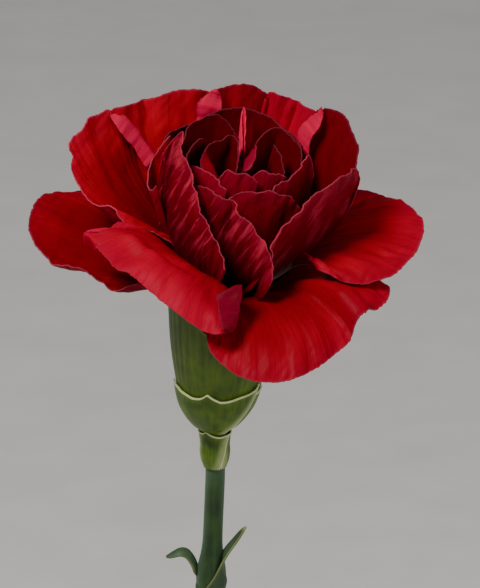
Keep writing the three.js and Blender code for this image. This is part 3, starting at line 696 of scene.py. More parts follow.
GUARD_ROOT = Root(ring=5.0, depth=3.0, start=0.33)
CUP_ROOT = Root(ring=3.5, depth=-1.0, start=0.45)
MIDDLE_ROOT = Root(ring=4.0, depth=1.0)

PETAL_THICKNESS = 0.26
PETAL_ROWS = 52  # mesh points from claw to rim
COLUMN_SPACING = 0.41  # millimetres between mesh points along the rim
FEWEST_COLUMNS, MOST_COLUMNS = 40, 195
SEED_STEP = 7.3  # how far apart two petals' patterns are
CREPE_SLANT = math.radians(55)  # how steeply the crumples' ridges rise
CREPE_SPACING = 1.2  # millimetres between ridges
CREPE_LENGTH = 7.0  # how long a ridge is


def along_ray(rows: int) -> Array:
    """Give places along a ray from 0 at the claw to 1 at the rim, closer together near the rim."""
    return 1 - (1 - np.linspace(0, 1, rows)) ** 1.5


@dataclass(frozen=True)
class Fold:
    """A flap past the rim that lies back over the petal.

    It runs from low to high across the petal. margin is its free edge, from low to high, as points right,
    up and forward of the calyx mouth, and bulge how far its crest rounds out, in millimetres.
    """

    low: float
    high: float
    margin: tuple[Point, ...]
    bulge: float = 0.9
    tone: float = 1.35  # painted light: how much lighter its flap is painted where it catches the light, darker below 1 where it is in shade

    def path(self, ray: Array, heading: Array, edge: Array) -> Array:
        """Carry one ray on past the crest.

        Args:
            ray: the ray's points.
            heading: the way out of the petal at its crest.
            edge: where the flap's free edge is.

        Returns:
            The ray's points and the flap's.
        """
        crest = ray[-1]
        reach = float(np.linalg.norm(edge - crest))
        control = crest + 0.15 * (edge - crest) + self.bulge * min(1.0, reach / 2) * unit(heading + FORWARD)
        t = np.linspace(0, 1, 25)[1:, None]
        return np.vstack([ray, (1 - t) ** 2 * crest + 2 * t * (1 - t) * control + t * t * edge])


@dataclass(frozen=True)
class Pleat:
    """A crease or ridge along a ray: its place and width across the petal, its height and its start."""

    at: float
    width: float
    height: float
    start: float = 0.2

    def lift(self, u: Array, v: Array) -> Array:
        """Give how far it stands out at places across and along the petal."""
        return self.height * np.exp(-((u - self.at) / self.width) ** 2) * smooth_step(self.start, 1, v)


@dataclass(frozen=True)
class Dent:
    """A low swelling or hollow in a petal's face.

    across and along are its place, from 0 to 1 over the petal and from claw to rim, width and length its
    size in the same shares, and height how far it stands out, in millimetres.
    """

    across: float
    along: float
    width: float
    length: float
    height: float

    def lift(self, u: Array, v: Array) -> Array:
        """Give how far it stands out at places across and along the petal."""
        place = ((u - self.across) / self.width) ** 2 + ((v - self.along) / self.length) ** 2
        return self.height * np.exp(-place)


def crepe_places(grid: Array, number: int) -> Array:
    """Place a face in the noise of its crumples, whose ridges rise to the right as the viewer sees them.

    Args:
        grid: the face's points.
        number: the petal's own number.

    Returns:
        For each point, how many ridges across it is, how far along them, and the number's place.
    """
    right, up = (grid - MOUTH) @ RIGHT, (grid - MOUTH) @ UP
    over = right * math.sin(CREPE_SLANT) - up * math.cos(CREPE_SLANT)
    ahead = right * math.cos(CREPE_SLANT) + up * math.sin(CREPE_SLANT)
    own = np.full(right.shape, number * SEED_STEP)
    return np.stack([over / CREPE_SPACING, ahead / CREPE_LENGTH, own], axis=-1)


@dataclass(frozen=True)
class Petal:
    """One petal: rays leave its claw, bend over and end on its rim.

    claw is the turn of the claw round the bloom's axis. launch and arrive are the pitch of the rays at the
    claw and at the rim, in degrees over the plane square to the axis, from the petal's left to its right.
    rim holds points right, up and forward of the calyx mouth, in millimetres, from left to right.
    """

    name: str
    layer: Layer
    claw: float
    launch: Values
    arrive: Values
    rim: tuple[Point, ...]
    root: Root = Root()
    ruffle: Point = (0.2, 4.0, 1.3)  # height, waves across, phase
    folds: tuple[Fold, ...] = ()
    pleats: tuple[Pleat, ...] = ()
    dents: tuple[Dent, ...] = ()
    sweep: Values = 0.0  # how far each ray leaves the claw to the right of its rim point, in degrees
    wave: float = 0.8  # height of the broad waves over the face
    pale: float = 0.0  # 1 for a petal painted all over in the pink of a lit flap: a painted highlight
    crepe: float = 0.0  # how crumpled the face is, from 0 to 1, which also sets the painted highlight on its ridges
    tooth: float = 0.25  # depth of the rim's fine teeth
    fine: float = 0.16  # height of the fine pleats near the rim
    tone: float = 1.0  # painted light and shade: how much lighter or darker its colour is painted for how the light falls on it
    blush: float = 0.15  # how far its face turns from red to crimson pink: partly its own crimson, partly a painted highlight on lit faces

    def rays(self, columns: int) -> Array:
        """Lay out the petal's smooth surface as cubic Bézier rays.

        Args:
            columns: points across, along the rim.

        Returns:
            Points, columns by rows by 3, in millimetres.
        """
        rim = mouth_line(self.rim, columns)
        u = np.linspace(0, 1, columns)
        root = MOUTH + round_axis(math.radians(self.claw), self.root.ring) - self.root.depth * AXIS
        claws = root + (u - 0.5)[:, None] * self.root.width * from_axis(rim[-1] - rim[0])
        ahead = from_axis(rim - root)
        length = np.linalg.norm(rim - claws, axis=1)[:, None]
        sweep = np.radians(spread_over(self.sweep, u))[:, None]
        swept = np.cos(sweep) * ahead + np.sin(sweep) * np.cross(AXIS, ahead)

        def handle(share: Values, outward: Array, pitch: Values) -> Array:
            """Give each ray's handle: a share of its length, at a pitch over the way outward."""
            angle = np.radians(spread_over(pitch, u))[:, None]
            return spread_over(share, u)[:, None] * length * (np.cos(angle) * outward + np.sin(angle) * AXIS)

        first = claws + handle(self.root.start, swept, self.launch)
        second = rim - handle(self.root.end, ahead, self.arrive)
        v = along_ray(PETAL_ROWS)[None, :, None]
        return ((1 - v) ** 3 * claws[:, None] + 3 * (1 - v) ** 2 * v * first[:, None]
                + 3 * (1 - v) * v ** 2 * second[:, None] + v ** 3 * rim[:, None])

    def folded(self, grid: Array) -> tuple[Array, Array, Array]:
        """Add the flaps of the margins that fold.

        Args:
            grid: the petal's points, with its crest as the last row.

        Returns:
            The points, spread over the rays and their flaps, and for each ray how far along it its crest is
            and how much light is painted on its flap.
        """
        crests, flap_painted_light = np.ones(len(grid)), np.full(len(grid), Fold.tone)
        columns, rows = grid.shape[:2]
        normals = np.cross(np.gradient(grid, axis=0), np.gradient(grid, axis=1))
        face = unit(normals[:, rows // 2:].sum(axis=(0, 1)))
        headings = unit(np.cross(face, unit(np.gradient(grid[:, -1], axis=0))))
        for fold in self.folds:
            margin = mouth_line(fold.margin, 100)
            shares = (np.linspace(0, 1, columns) - fold.low) / (fold.high - fold.low)
            for i in np.nonzero((shares >= 0) & (shares <= 1))[0]:
                path = fold.path(grid[i], headings[i], margin[round(99 * shares[i])])
                length = lengths_along(path)
                crests[i], flap_painted_light[i] = length[rows - 1] / length[-1], fold.tone
                steps = along_ray(rows) * length[-1]
                grid[i] = np.stack([np.interp(steps, length, path[:, k]) for k in range(3)], axis=1)
        return grid, crests, flap_painted_light

    def waved(self, grid: Array) -> Array:
        """Move the points square to the face by the ruffle, the pleats and the dents.

        Args:
            grid: the petal's points.

        Returns:
            The moved points.
        """
        u, v = np.linspace(0, 1, len(grid))[:, None], along_ray(grid.shape[1])[None, :]
        height, waves, phase = self.ruffle
        lift = height * v ** 3 * (np.sin(2 * math.pi * waves * u + phase)
                                  + 0.5 * np.sin(3.8 * math.pi * waves * u + 2.1 * phase + 1))
        for relief in (*self.pleats, *self.dents):
            lift = lift + relief.lift(u, v)
        normal = unit(np.cross(np.gradient(grid, axis=0), np.gradient(grid, axis=1)))
        return grid + lift[..., None] * normal

    def sheet(self, number: int, tree: Tree, finishes: Sequence[Material]) -> Piece:
        """Make the finished petal.

        Args:
            number: the petal's number, which varies its pattern.
            tree: the tree that adds the fine pleats and teeth.
            finishes: the inside, outside and edge materials.

        Returns:
            A closed, settled mesh object.
        """
        rim_length = float(lengths_along(mouth_line(self.rim, 60))[-1])
        columns = int(np.clip(rim_length / COLUMN_SPACING, FEWEST_COLUMNS, MOST_COLUMNS))
        grid, crests, flap_painted_light = self.folded(self.rays(columns))
        grid = self.waved(grid)
        u = np.repeat(np.linspace(0, 1, columns)[:, None], PETAL_ROWS, axis=1)
        v = np.repeat(along_ray(PETAL_ROWS)[None, :], columns, axis=0)
        ray = unit(np.gradient(grid, axis=1))
        normal = unit(np.cross(np.gradient(grid, axis=0), ray))
        outward = from_axis(grid - MOUTH)
        facing = (ray @ AXIS)[..., None] * -outward + np.sum(ray * outward, axis=-1)[..., None] * AXIS
        if np.sum(normal * facing) < 0:  # the inside of the petal faces the axis
            grid, u, v, ray, crests, flap_painted_light = (layer[::-1] for layer in (grid, u, v, ray, crests, flap_painted_light))
        flap_painted_light = flap_painted_light[:, None]
        flap = np.where(crests[:, None] < 1, smooth_step(-0.01, 0.02, v - crests[:, None]), 0)
        # the pink grows towards the rim and fills a flap: partly crimson, partly a painted highlight where
        # faces catch the light
        blush = self.blush * v ** 2 * (1 - flap) + np.minimum(flap_painted_light, 1) * flap
        layers = {"v": v, "span": u * rim_length, "seed": np.full(v.shape, number * SEED_STEP), "ray": ray,
                  "tone": self.tone + (flap_painted_light - self.tone) * flap, "blush": np.maximum(blush, self.pale),
                  "crepe": self.crepe * smooth_step(0.35, 0.9, v), "crepe_at": crepe_places(grid, number)}
        values = {"Pleat Height": self.fine * MM, "Tooth Depth": self.tooth * MM,
                  "Wave Height": self.wave * MM}
        return shell(self.name, grid, layers, finishes, PETAL_THICKNESS, tree=tree, values=values)


# The tones here are painted shade: the cups, and most of all the heart, are painted darker for the shade
# deep in the bloom.
LAYER_STYLE: dict[Layer, dict[str, float]] = {
    Layer.GUARD: {"wave": 1.0},
    Layer.WING: {"wave": 1.0},
    Layer.REAR: {"wave": 0.9},
    Layer.CUP: {"wave": 0.5, "tone": 0.8, "fine": 0.3},
    Layer.HEART: {"wave": 0.2, "tone": 0.36},
}


def seen_petal(name: str, layer: Layer, claw: float, launch: Values, arrive: Values, rim: tuple[Point, ...],
               **own: object) -> Petal:
    """Shape a petal that the photo shows, from its layer's style and what it has of its own."""
    return Petal(name, layer, claw, launch, arrive, rim, **{**LAYER_STYLE[layer], **own})


def rear_petal(name: str, layer: Layer, claw: float, half: float, reach: float, rise: float,
               launch: float, arrive: float, root: Root) -> Petal:
    """Shape a petal at the back, whose rim is an arc with a gentle wave.

    Args:
        name: the petal's name.
        layer: where it sits.
        claw: the turn of its middle round the axis, in degrees.
        half: half its spread round the axis, in degrees.
        reach: how far its rim is from the axis.
        rise: how far its rim is over the mouth.
        launch: the rays' pitch at the claw.
        arrive: the rays' pitch at the rim.
        root: where it leaves the claws.

    Returns:
        The petal.
    """
    rim = []
    for t in np.linspace(-1, 1, 13):
        radius = reach * (1 - 0.12 * t * t) + 0.6 * math.sin(7 * t + claw)
        height = rise - 3 * t * t + 0.8 * math.sin(5 * t + 2 * claw)
        point = round_axis(math.radians(claw - half * t), radius) + height * AXIS
        rim.append(tuple(float(point @ way) for way in (RIGHT, UP, FORWARD)))
    return Petal(name, layer, claw, launch, arrive, tuple(rim), root, ruffle=(0.5, 4.0, claw))


def petal_skin_tree() -> Tree:
    """Build the tree that gives a petal its fine pleats, its wrinkles, its broad waves and its toothed rim.

    Returns:
        A tree with inputs Pleat Height, Wave Height, Tooth Depth and Finish.
    """
    tree, entry = new_tree("petal_skin", {"Pleat Height": "Float", "Wave Height": "Float",
                                          "Tooth Depth": "Float"})
    read = {name: node(tree, "GeometryNodeInputNamedAttribute", {"Name": name}, data_type="FLOAT")
            for name in ("span", "v", "seed")}
    face = node(tree, "ShaderNodeCombineXYZ", {0: read["span"], 1: read["v"], 2: read["seed"]})

    def swing(place: Node, scale: Point, detail: float, size: float) -> Node:
        """Give smooth noise.

        Args:
            place: the place to read it at.
            scale: how much finer it is on each axis.
            detail: how rough it is.
            size: how far apart its lowest and highest values are, with 0 in the middle.

        Returns:
            The node that gives it.
        """
        scaled = node(tree, "ShaderNodeVectorMath", {0: place, 1: scale}, operation="MULTIPLY")
        texture = node(tree, "ShaderNodeTexNoise", {"Vector": scaled, "Scale": 1.0, "Detail": detail})
        return node(tree, "ShaderNodeMath", {0: texture, 1: size, 2: -size / 2}, operation="MULTIPLY_ADD")

    crepe = node(tree, "GeometryNodeInputNamedAttribute", {"Name": "crepe_at"}, data_type="FLOAT_VECTOR")
    fine = node(tree, "ShaderNodeMath", {0: swing(face, (0.62, 1.1, 1.0), 2.0, 5.0),
                                         1: swing(crepe, (1.0, 1.0, 1.0), 2.0, 4.0)}, operation="ADD")
    still_rim = node(tree, "ShaderNodeMapRange", {"Value": read["v"], "From Min": 0.8, "From Max": 1.0,
                                                  "To Min": 1.0, "To Max": 0.35})
    broad = node(tree, "ShaderNodeMath", {0: swing(face, (0.13, 2.6, 1.0), 1.0, 4.5), 1: still_rim},
                 operation="MULTIPLY")
    waves = node(tree, "ShaderNodeMath", {0: broad, 1: entry["Wave Height"]}, operation="MULTIPLY")
    both = node(tree, "ShaderNodeMath", {0: fine, 1: entry["Pleat Height"], 2: waves},
                operation="MULTIPLY_ADD")
    growth = node(tree, "ShaderNodeMath", {0: read["v"], 1: 1.8}, operation="POWER")
    lift = node(tree, "ShaderNodeMath", {0: both, 1: growth}, operation="MULTIPLY")
    raised = node(tree, "ShaderNodeVectorMath", {0: node(tree, "GeometryNodeInputNormal"), "Scale": lift},
                  operation="SCALE")
    near_rim = node(tree, "ShaderNodeMapRange", {"Value": read["v"], "From Min": 0.88, "From Max": 1.0,
                                                 "To Max": entry["Tooth Depth"]},
                    interpolation_type="SMOOTHSTEP")
    bite = node(tree, "ShaderNodeMath", {0: swing(face, (1.5, 0.0, 1.0), 2.5, 3.2), 1: near_rim},
                operation="MULTIPLY")
    ray = node(tree, "GeometryNodeInputNamedAttribute", {"Name": "ray"}, data_type="FLOAT_VECTOR")
    toothed = node(tree, "ShaderNodeVectorMath", {0: ray, "Scale": bite}, operation="SCALE")
    move = node(tree, "ShaderNodeVectorMath", {0: raised, 1: toothed}, operation="ADD")
    moved = node(tree, "GeometryNodeSetPosition", {"Geometry": entry["Geometry"], "Offset": move})
    return ended(tree, moved, entry["Finish"])


# Each petal's tone is painted light and shade: lit petals are painted lighter, shaded ones such as
# wing_right darker. Its blush is partly a painted highlight, and a fold's tone paints the light on its flap.
PETALS: tuple[Petal, ...] = (
    seen_petal("guard_right", Layer.GUARD, -15, (55, 68, 75, 75, 66, 38), (20, 5, -10, -30, -40),
        ((23.6, 19.6, -6), (26.8, 20, -6), (30.8, 19.6, -5), (34.6, 18.6, -4), (37.2, 17, -2),
        (39.2, 15, 0), (40.4, 12, 3), (39.6, 9.6, 5), (38.2, 7, 9), (35.6, 4.4, 13), (32.6, 2.4, 16.5),
        (28.6, 1.2, 19), (24.6, 1.4, 19.4), (20.6, 3.2, 17.6), (17.2, 5.6, 14.6), (14.6, 6, 13),
        (11, 4, 12)), root=Root(ring=5, depth=3, start=(0.38, 0.45, 0.47, 0.47, 0.42, 0.35)),
        ruffle=(0.5, 5, 0.4), blush=0.5, dents=(Dent(0.47, 0.9, 0.015, 0.05, -0.7),
        Dent(0.52, 0.86, 0.015, 0.06, -0.6)), pleats=(Pleat(0.22, 0.02, -0.6, 0.5),
        Pleat(0.3, 0.03, 0.5, 0.4), Pleat(0.42, 0.02, -0.7, 0.5), Pleat(0.5, 0.03, 0.6, 0.5),
        Pleat(0.62, 0.03, -0.4, 0.6))),
    seen_petal("guard_left", Layer.GUARD, 195, (78, 62, 45, 40, 40), (10, 15, 20, 0, -20), ((-14, 4.4, 12),
        (-15.4, 2, 13.2), (-17, 1.2, 14), (-19.4, 0.1, 14), (-21, 0, 14), (-22, 0.6, 14), (-23.4, 2, 14),
        (-25.4, 2.8, 14), (-28, 4, 14), (-30.4, 4.5, 14), (-32.4, 4.8, 13.5), (-34, 5.6, 12.5),
        (-36, 7.6, 10.5), (-37.6, 10.4, 8.5), (-38.4, 13.4, 5.5), (-38.2, 15.4, 2.5), (-37.4, 17.4, -1),
        (-36, 19, -3), (-34, 19.8, -5), (-28.6, 20.2, -6), (-22.4, 20.4, -6)), root=Root(ring=5, depth=3,
        start=(0.42, 0.36, 0.33, 0.33)), ruffle=(0.3, 3, 1.4), tone=0.72, blush=0.3),
    seen_petal("guard_front_left", Layer.GUARD, 235, (62, 72, 75, 72, 45), (-5, -40, -60, -60, 20),
        ((-20.6, 13.4, 14.5), (-22, 12.2, 15.5), (-24, 11.4, 16.2), (-27.2, 11.3, 16.4), (-26, 10.3, 17.2),
        (-24.8, 8.6, 18.4), (-22.8, 6.3, 19.8), (-20.8, 4.2, 21), (-18.4, 3.4, 22.5), (-16.6, 2, 24),
        (-14.4, 0, 25.8), (-10.4, -3.2, 28), (-7.4, -5.4, 29.5), (-4.4, -7.4, 30.5), (-2, -8.4, 31),
        (0.2, -8.5, 31), (2.4, -7.2, 30), (3.6, -3.6, 28.5), (3.9, -0.8, 27.5), (3.5, 0.9, 26.5)),
        root=Root(ring=5, depth=3, start=(0.4, 0.5, 0.52, 0.5, 0.35)), ruffle=(0.2, 3, 0),
        folds=(Fold(0.115, 0.2, ((-27.2, 11.2, 15.6), (-27.3, 9.6, 13.6), (-27, 8.5, 12.6), (-25.6, 8, 13),
        (-24.4, 7.9, 17.6)), 0.2), Fold(0.8, 1, ((0.4, -8.4, 32.2), (-0.1, -6.7, 31.9), (-0.6, -3.6, 30.2),
        (-1.1, -0.8, 27.6)), 0.6, 0.5)), tone=1.1, blush=0.9, dents=(Dent(0.3, 0.74, 0.12, 0.05, -1.2),
        Dent(0.42, 0.62, 0.14, 0.05, 1.1), Dent(0.62, 0.86, 0.03, 0.12, -0.6)),
        pleats=(Pleat(0.72, 0.04, 0.9, 0.3), Pleat(0.78, 0.03, -0.5, 0.4))),
    seen_petal("guard_front_right", Layer.GUARD, 290, (62, 62, 62, 56, 20), (-60, -60, -50, -20, 0),
        ((-1, -4, 22), (-2.6, -8.6, 25), (-2, -12, 27), (-0.4, -14, 28.5), (2, -16, 30), (4.6, -17.2, 31.5),
        (7.2, -17.9, 32.5), (10, -18, 33), (12.6, -17.7, 33), (14.8, -17, 33), (17.6, -15.6, 32),
        (20, -14.2, 31), (22, -12.6, 29), (25, -10, 26.5), (25.8, -8, 26), (27, -5.8, 25.4),
        (28.8, -4.2, 24.4), (31.2, -3, 21.6), (32.8, -1.6, 18), (32.6, 0.2, 13.5), (30.4, -0.6, 10.5),
        (26.4, -0.6, 8), (21.6, 0.4, 6.5)), root=Root(ring=5, depth=3, start=(0.4, 0.4, 0.4, 0.38, 0.33)),
        ruffle=(0.4, 4, 2.2), tone=0.85, blush=0.5, dents=(Dent(0.68, 0.9, 0.02, 0.05, 0.6),
        Dent(0.66, 0.84, 0.015, 0.04, -0.5), Dent(0.12, 0.9, 0.03, 0.06, 0.5),
        Dent(0.71, 0.3, 0.1, 0.13, 2)), pleats=(Pleat(0.3, 0.03, -0.7, 0.4), Pleat(0.42, 0.035, 0.6, 0.3),
        Pleat(0.63, 0.03, -1.6, 0.35), Pleat(0.7, 0.03, 0.9, 0.5), Pleat(0.86, 0.05, -0.5, 0.4))),
    seen_petal("wing_left", Layer.WING, 170, (52, 52, 50, 50), (0, 10, 50, 75, 80), ((-9, 8, 8),
        (-12, 10.4, 9), (-15.8, 12.6, 10.5), (-19.4, 14, 11.5), (-21, 15.6, 11), (-22.2, 16.2, 10),
        (-24.4, 16.4, 9), (-26.4, 17.4, 8.5), (-28.2, 20, 8), (-29.4, 23.4, 8), (-30.4, 26, 8),
        (-31, 28.2, 8), (-29.8, 30.4, 7), (-28, 31.6, 6), (-26.4, 34.2, 4), (-24.4, 35, 2.5),
        (-22.8, 36.2, 1), (-20.8, 35.4, 0), (-19.2, 34, -1), (-17.8, 32.4, -2), (-16.4, 30.4, -2.5),
        (-14.8, 28.4, -2.5), (-13.4, 26.6, -2)), ruffle=(0.4, 4, 0.3), folds=(Fold(0.762, 1,
        ((-22.5, 36.2, 1.2), (-22, 35.1, 1.6), (-21.6, 33.7, 1.3), (-20.9, 32.1, 0.7), (-19.5, 30.2, -0.1),
        (-17.6, 28.2, -1.1), (-16.5, 26.1, -1.5), (-14.9, 24.2, -1.5))),), tone=1.2, blush=0.3,
        pleats=(Pleat(0.5, 0.02, 0.35, 0.3), Pleat(0.6, 0.018, 0.3, 0.5))),
    seen_petal("back_left", Layer.REAR, 125, 55, (70, 75, 80), ((-20, 30, -6), (-22, 36, -6),
        (-18, 37.6, -8), (-14.4, 38.6, -9.5), (-10.4, 40.2, -10.5), (-7.4, 40.6, -11), (-4.4, 40.6, -11.5),
        (-1.4, 39.6, -12), (0.6, 37, -12)), ruffle=(0.4, 4, 0.3), tone=1.15,
        pleats=(Pleat(0.44, 0.035, -1.3, 0.6), Pleat(0.7, 0.06, 0.7, 0.6))),
    seen_petal("back_middle", Layer.REAR, 90, 60, (80, 80, 80), ((-5.2, 31, -8), (-5.2, 34.6, -8),
        (-4.8, 37.2, -7.5), (-3.6, 39.2, -7), (-1.8, 40.4, -7), (0, 40.8, -8.5), (4.2, 41.8, -10),
        (6.6, 41.2, -10.5), (8.6, 40, -11), (10.6, 38.6, -11)), ruffle=(0.3, 3, 0.3), folds=(Fold(0, 0.46,
        ((-0.1, 31, -8.6), (-0.1, 33.6, -8.4), (-0.1, 36.5, -7.4), (-0.1, 38.1, -6.9), (-0.6, 39.7, -6.2),
        (-1.3, 40.45, -6.2)), 1.1),), tone=0.68, blush=0.35),
    seen_petal("back_right", Layer.REAR, 60, 60, (80, 80, 80), ((8.6, 37, -10), (9.2, 39.8, -9.5),
        (12.6, 39.2, -8.5), (15.2, 38, -8), (17.2, 37, -7), (18.8, 36.2, -6), (20.6, 34.4, -5)),
        ruffle=(0.3, 3, 0.3), tone=1.1, blush=0.75, pleats=(Pleat(0.14, 0.05, -1.1, 0.6),
        Pleat(0.34, 0.06, 1.3, 0.6), Pleat(0.56, 0.05, -0.9, 0.5), Pleat(0.8, 0.1, 0.7, 0.5))),
    seen_petal("wing_right", Layer.WING, 15, 45, (85, 80, 75), ((16.4, 28, -3), (15.2, 30.4, -2.5),
        (15.8, 32.6, -1.2), (17.4, 34.2, 0.6), (18.4, 35.2, 2), (19.7, 36.4, 3.5), (21.6, 36, 3.5),
        (23.2, 35.6, 4), (24.6, 34.2, 6), (25.8, 32.2, 7.5), (26.8, 30, 9), (27.2, 28, 10),
        (26.8, 25.6, 11), (26, 23, 12), (24.6, 20, 12)), ruffle=(0.3, 3, 1.3), folds=(Fold(0, 0.37,
        ((17.6, 25.5, 1.6), (17.4, 28.2, 2.4), (18.1, 30.5, 3.1), (19.1, 31.8, 3.7), (19.8, 33.7, 4.1),
        (20, 36, 4.4))),), tone=0.45, blush=0.35),
    seen_petal("cup_right", Layer.CUP, 305, (10, 24, 42), (60, 85, 95), ((9.6, 5.4, 24), (9.8, 8, 24),
        (10.4, 9.6, 24), (11.8, 12, 24), (13.6, 13.6, 23.5), (15.2, 15.2, 23), (16.2, 16.8, 22.5),
        (18, 18.4, 21.5), (19.6, 19.6, 20.5), (21.6, 20.8, 19.5), (23.2, 22, 18), (24.8, 23, 16),
        (26, 24, 14), (27, 23.6, 12), (27.2, 22, 11)), root=CUP_ROOT, ruffle=(0.2, 5, 1.3), crepe=0.6,
        blush=0.16, dents=(Dent(0.9, 0.93, 0.05, 0.05, 0.7), Dent(0.82, 0.9, 0.03, 0.06, -0.5),
        Dent(0.96, 0.85, 0.03, 0.08, -0.6))),
    seen_petal("cup_left", Layer.CUP, 225, 10, (90, 85, 60), ((-11.8, 20, 8), (-11.8, 23, 8.5),
        (-11.6, 26.4, 9.5), (-10.6, 28.6, 10.5), (-9.2, 30.2, 11.5), (-7.8, 31.4, 12.5), (-7.8, 29.6, 13.5),
        (-7.8, 26.6, 15), (-6.8, 25.4, 16), (-6.2, 23.6, 17), (-5.6, 21.6, 18), (-5, 19.4, 19),
        (-4.4, 17, 20), (-4.2, 15.2, 20.5), (-3, 13.6, 21), (-1.8, 10.8, 21.5), (-0.6, 8, 21.8),
        (0.2, 5.8, 22), (0.6, 4, 22)), root=CUP_ROOT, ruffle=(0.15, 5, 1.3), crepe=1, blush=0.2),
    seen_petal("cup_front", Layer.CUP, 275, 20, (85, 85, 80), ((-5, 20.6, 16), (-3.8, 20.4, 17),
        (-2, 19.6, 18.5), (0, 18.2, 20), (1.4, 17.2, 20.6), (2.6, 16.6, 20.8), (3.8, 15.4, 22),
        (5.2, 13.6, 23.5), (6.4, 12, 24), (7, 10.8, 24), (8.6, 9.2, 24.5), (9.6, 7.2, 24.5),
        (9.9, 4.4, 24.5), (9.9, 2, 24)), root=CUP_ROOT, ruffle=(0.15, 5, 1.3), crepe=0.7, blush=0.16,
        sweep=(55, 25, 5), pleats=(Pleat(0.33, 0.045, -1.6, 0.45), Pleat(0.45, 0.07, 1.3, 0.35),
        Pleat(0.75, 0.06, 0.5, 0.4))),
    seen_petal("bowl_front", Layer.CUP, 270, 15, (90, 90, 90), ((0.4, 17.4, 16), (2, 18.2, 16.5),
        (3.2, 19, 17), (5, 19.4, 17.5), (7.6, 19.2, 18), (10, 19.4, 18), (11.6, 18.6, 17.5),
        (13.2, 18.6, 17), (14.4, 17.4, 16), (16, 15.6, 15)), root=CUP_ROOT, ruffle=(0.15, 5, 1.3)),
    seen_petal("heart_front_left", Layer.HEART, 250, 60, (90, 90, 90), ((-1.2, 21.2, 12), (0.4, 23.2, 12.5),
        (1.2, 23.8, 13), (2.8, 23, 13.5), (4.6, 23, 13.5), (5.8, 22.4, 13.5), (7.2, 21.2, 13)),
        ruffle=(0.1, 5, 1.3), tone=0.85, blush=0.22),
    seen_petal("heart_front_right", Layer.HEART, 290, 60, (90, 90, 90), ((5.6, 21.6, 12), (6.8, 23, 12.5),
        (8.4, 23.6, 13), (9.4, 23, 13), (11.4, 22.8, 12.5), (12.6, 22.4, 12), (13.6, 21.2, 11.5)),
        ruffle=(0.1, 5, 1.3), tone=0.85, blush=0.22),
    seen_petal("heart_left", Layer.HEART, 210, 40, (90, 90, 90), ((-5.8, 24.6, 10), (-4.8, 24.4, 12),
        (-4, 23.8, 13), (-2.6, 23.2, 14), (-1, 22, 15), (-0.2, 20.6, 15.5), (1, 19.8, 16)),
        ruffle=(0.1, 5, 1.3), tone=0.85, blush=0.22),
    seen_petal("heart_right", Layer.HEART, 330, 40, (90, 90, 90), ((10.2, 19.6, 15.5), (11.4, 21, 15),
        (13, 21.6, 14.5), (14.6, 23.2, 13.5), (15.4, 23.8, 13), (16.2, 25.4, 12), (17.2, 26.6, 11),
        (18, 25, 10), (18.2, 22.4, 9)), ruffle=(0.15, 8, 1.3), tone=0.85, blush=0.22),
    seen_petal("ring_back", Layer.HEART, 90, 50, (95, 95, 95), ((-11, 22, 5), (-11.6, 26.4, 5),
        (-11.8, 29, 4), (-11, 31, 2), (-9.4, 32, 0), (-6.4, 33.2, -2), (-4.4, 34.2, -3.5), (-2, 35.6, -5),
        (1.2, 36.4, -6), (4.2, 36.8, -6.5), (6.6, 36, -6), (9.6, 34.8, -5), (11.6, 33.2, -4),
        (13.6, 31.4, -2), (15.2, 29.8, 0), (15.8, 28, 3)), ruffle=(0.15, 5, 1.3)),
    seen_petal("arch_left", Layer.HEART, 120, 60, (95, 95, 95), ((-8, 29, 4), (-6.4, 33, 1),
        (-3.8, 34.4, -1), (-2, 35.2, -2), (-0.8, 35.2, -2.5), (1.2, 33.6, -3), (2.6, 31.6, -3),
        (3.6, 30, -2.5), (4.2, 27.6, -1)), ruffle=(0.1, 4, 1.3)),
    seen_petal("loop_left", Layer.HEART, 180, 70, (90, 95, 90), ((-0.6, 22, 10), (-1.8, 24.8, 9),
        (-2.6, 26, 8), (-3.2, 27.6, 7), (-1.6, 29.4, 4), (-0.4, 29.8, 3), (1.2, 30.8, 2), (2, 31, 1.5),
        (3, 30.2, 2), (3.4, 28.6, 4), (3.2, 26, 6.5), (3, 23.4, 9)), ruffle=(0.1, 4, 1.3), folds=(Fold(0,
        0.27, ((-1.8, 21.8, 11), (-3.2, 23, 10.6), (-4.3, 24.6, 9.6), (-3.9, 26.8, 8.4), (-3.3, 27.7, 7.2)),
        0.5, 0.5),)),
    seen_petal("loop_right", Layer.HEART, 45, 70, (90, 95, 90), ((4.2, 24, 9), (4.6, 25.6, 7.5),
        (5.6, 27, 6), (6.2, 28, 5), (7.2, 29.8, 3), (8, 30.8, 2), (9.6, 32, 0.5), (11.2, 32.6, 0),
        (13, 31.4, 1), (14.2, 30, 2.5), (15.4, 29.2, 4), (15.8, 28, 5.5), (15.8, 25, 8), (15.4, 23.6, 9.5)),
        ruffle=(0.1, 4, 1.3), folds=(Fold(0, 0.27, ((4.5, 23.3, 9.8), (5.6, 24, 9.8), (6.5, 25.4, 9),
        (6.9, 27, 7.6), (6.6, 28.8, 5.4)), 0.4, 0.6),)),
    seen_petal("blade_right", Layer.HEART, 0, 80, (90, 90, 90), ((10.4, 29, 4), (11.6, 27, 5),
        (12.2, 25, 6.5), (12.4, 23.6, 8), (12, 22, 9)), ruffle=(0.1, 2, 1.3)),
    seen_petal("blade_left", Layer.HEART, 170, 60, (90, 90, 90), ((-7, 25, 9), (-6.8, 26.4, 7),
        (-6.4, 28, 5.5), (-5, 29.6, 4), (-3.8, 30.2, 3), (-3.2, 30, 2)), ruffle=(0.1, 2, 1.3)),
    # blade_back is a lit fold seen edge on: its pink and its tone of 1.8 are a painted highlight
    seen_petal("blade_back", Layer.HEART, 0, 82, (78, 78, 78), ((4.2, 28, -1.5), (4.05, 32, -2.2),
        (4.05, 35.6, -2.7), (4.4, 36.8, -2.8), (4.75, 35.6, -2.7), (4.75, 32, -2.2), (4.6, 28, -1.5)),
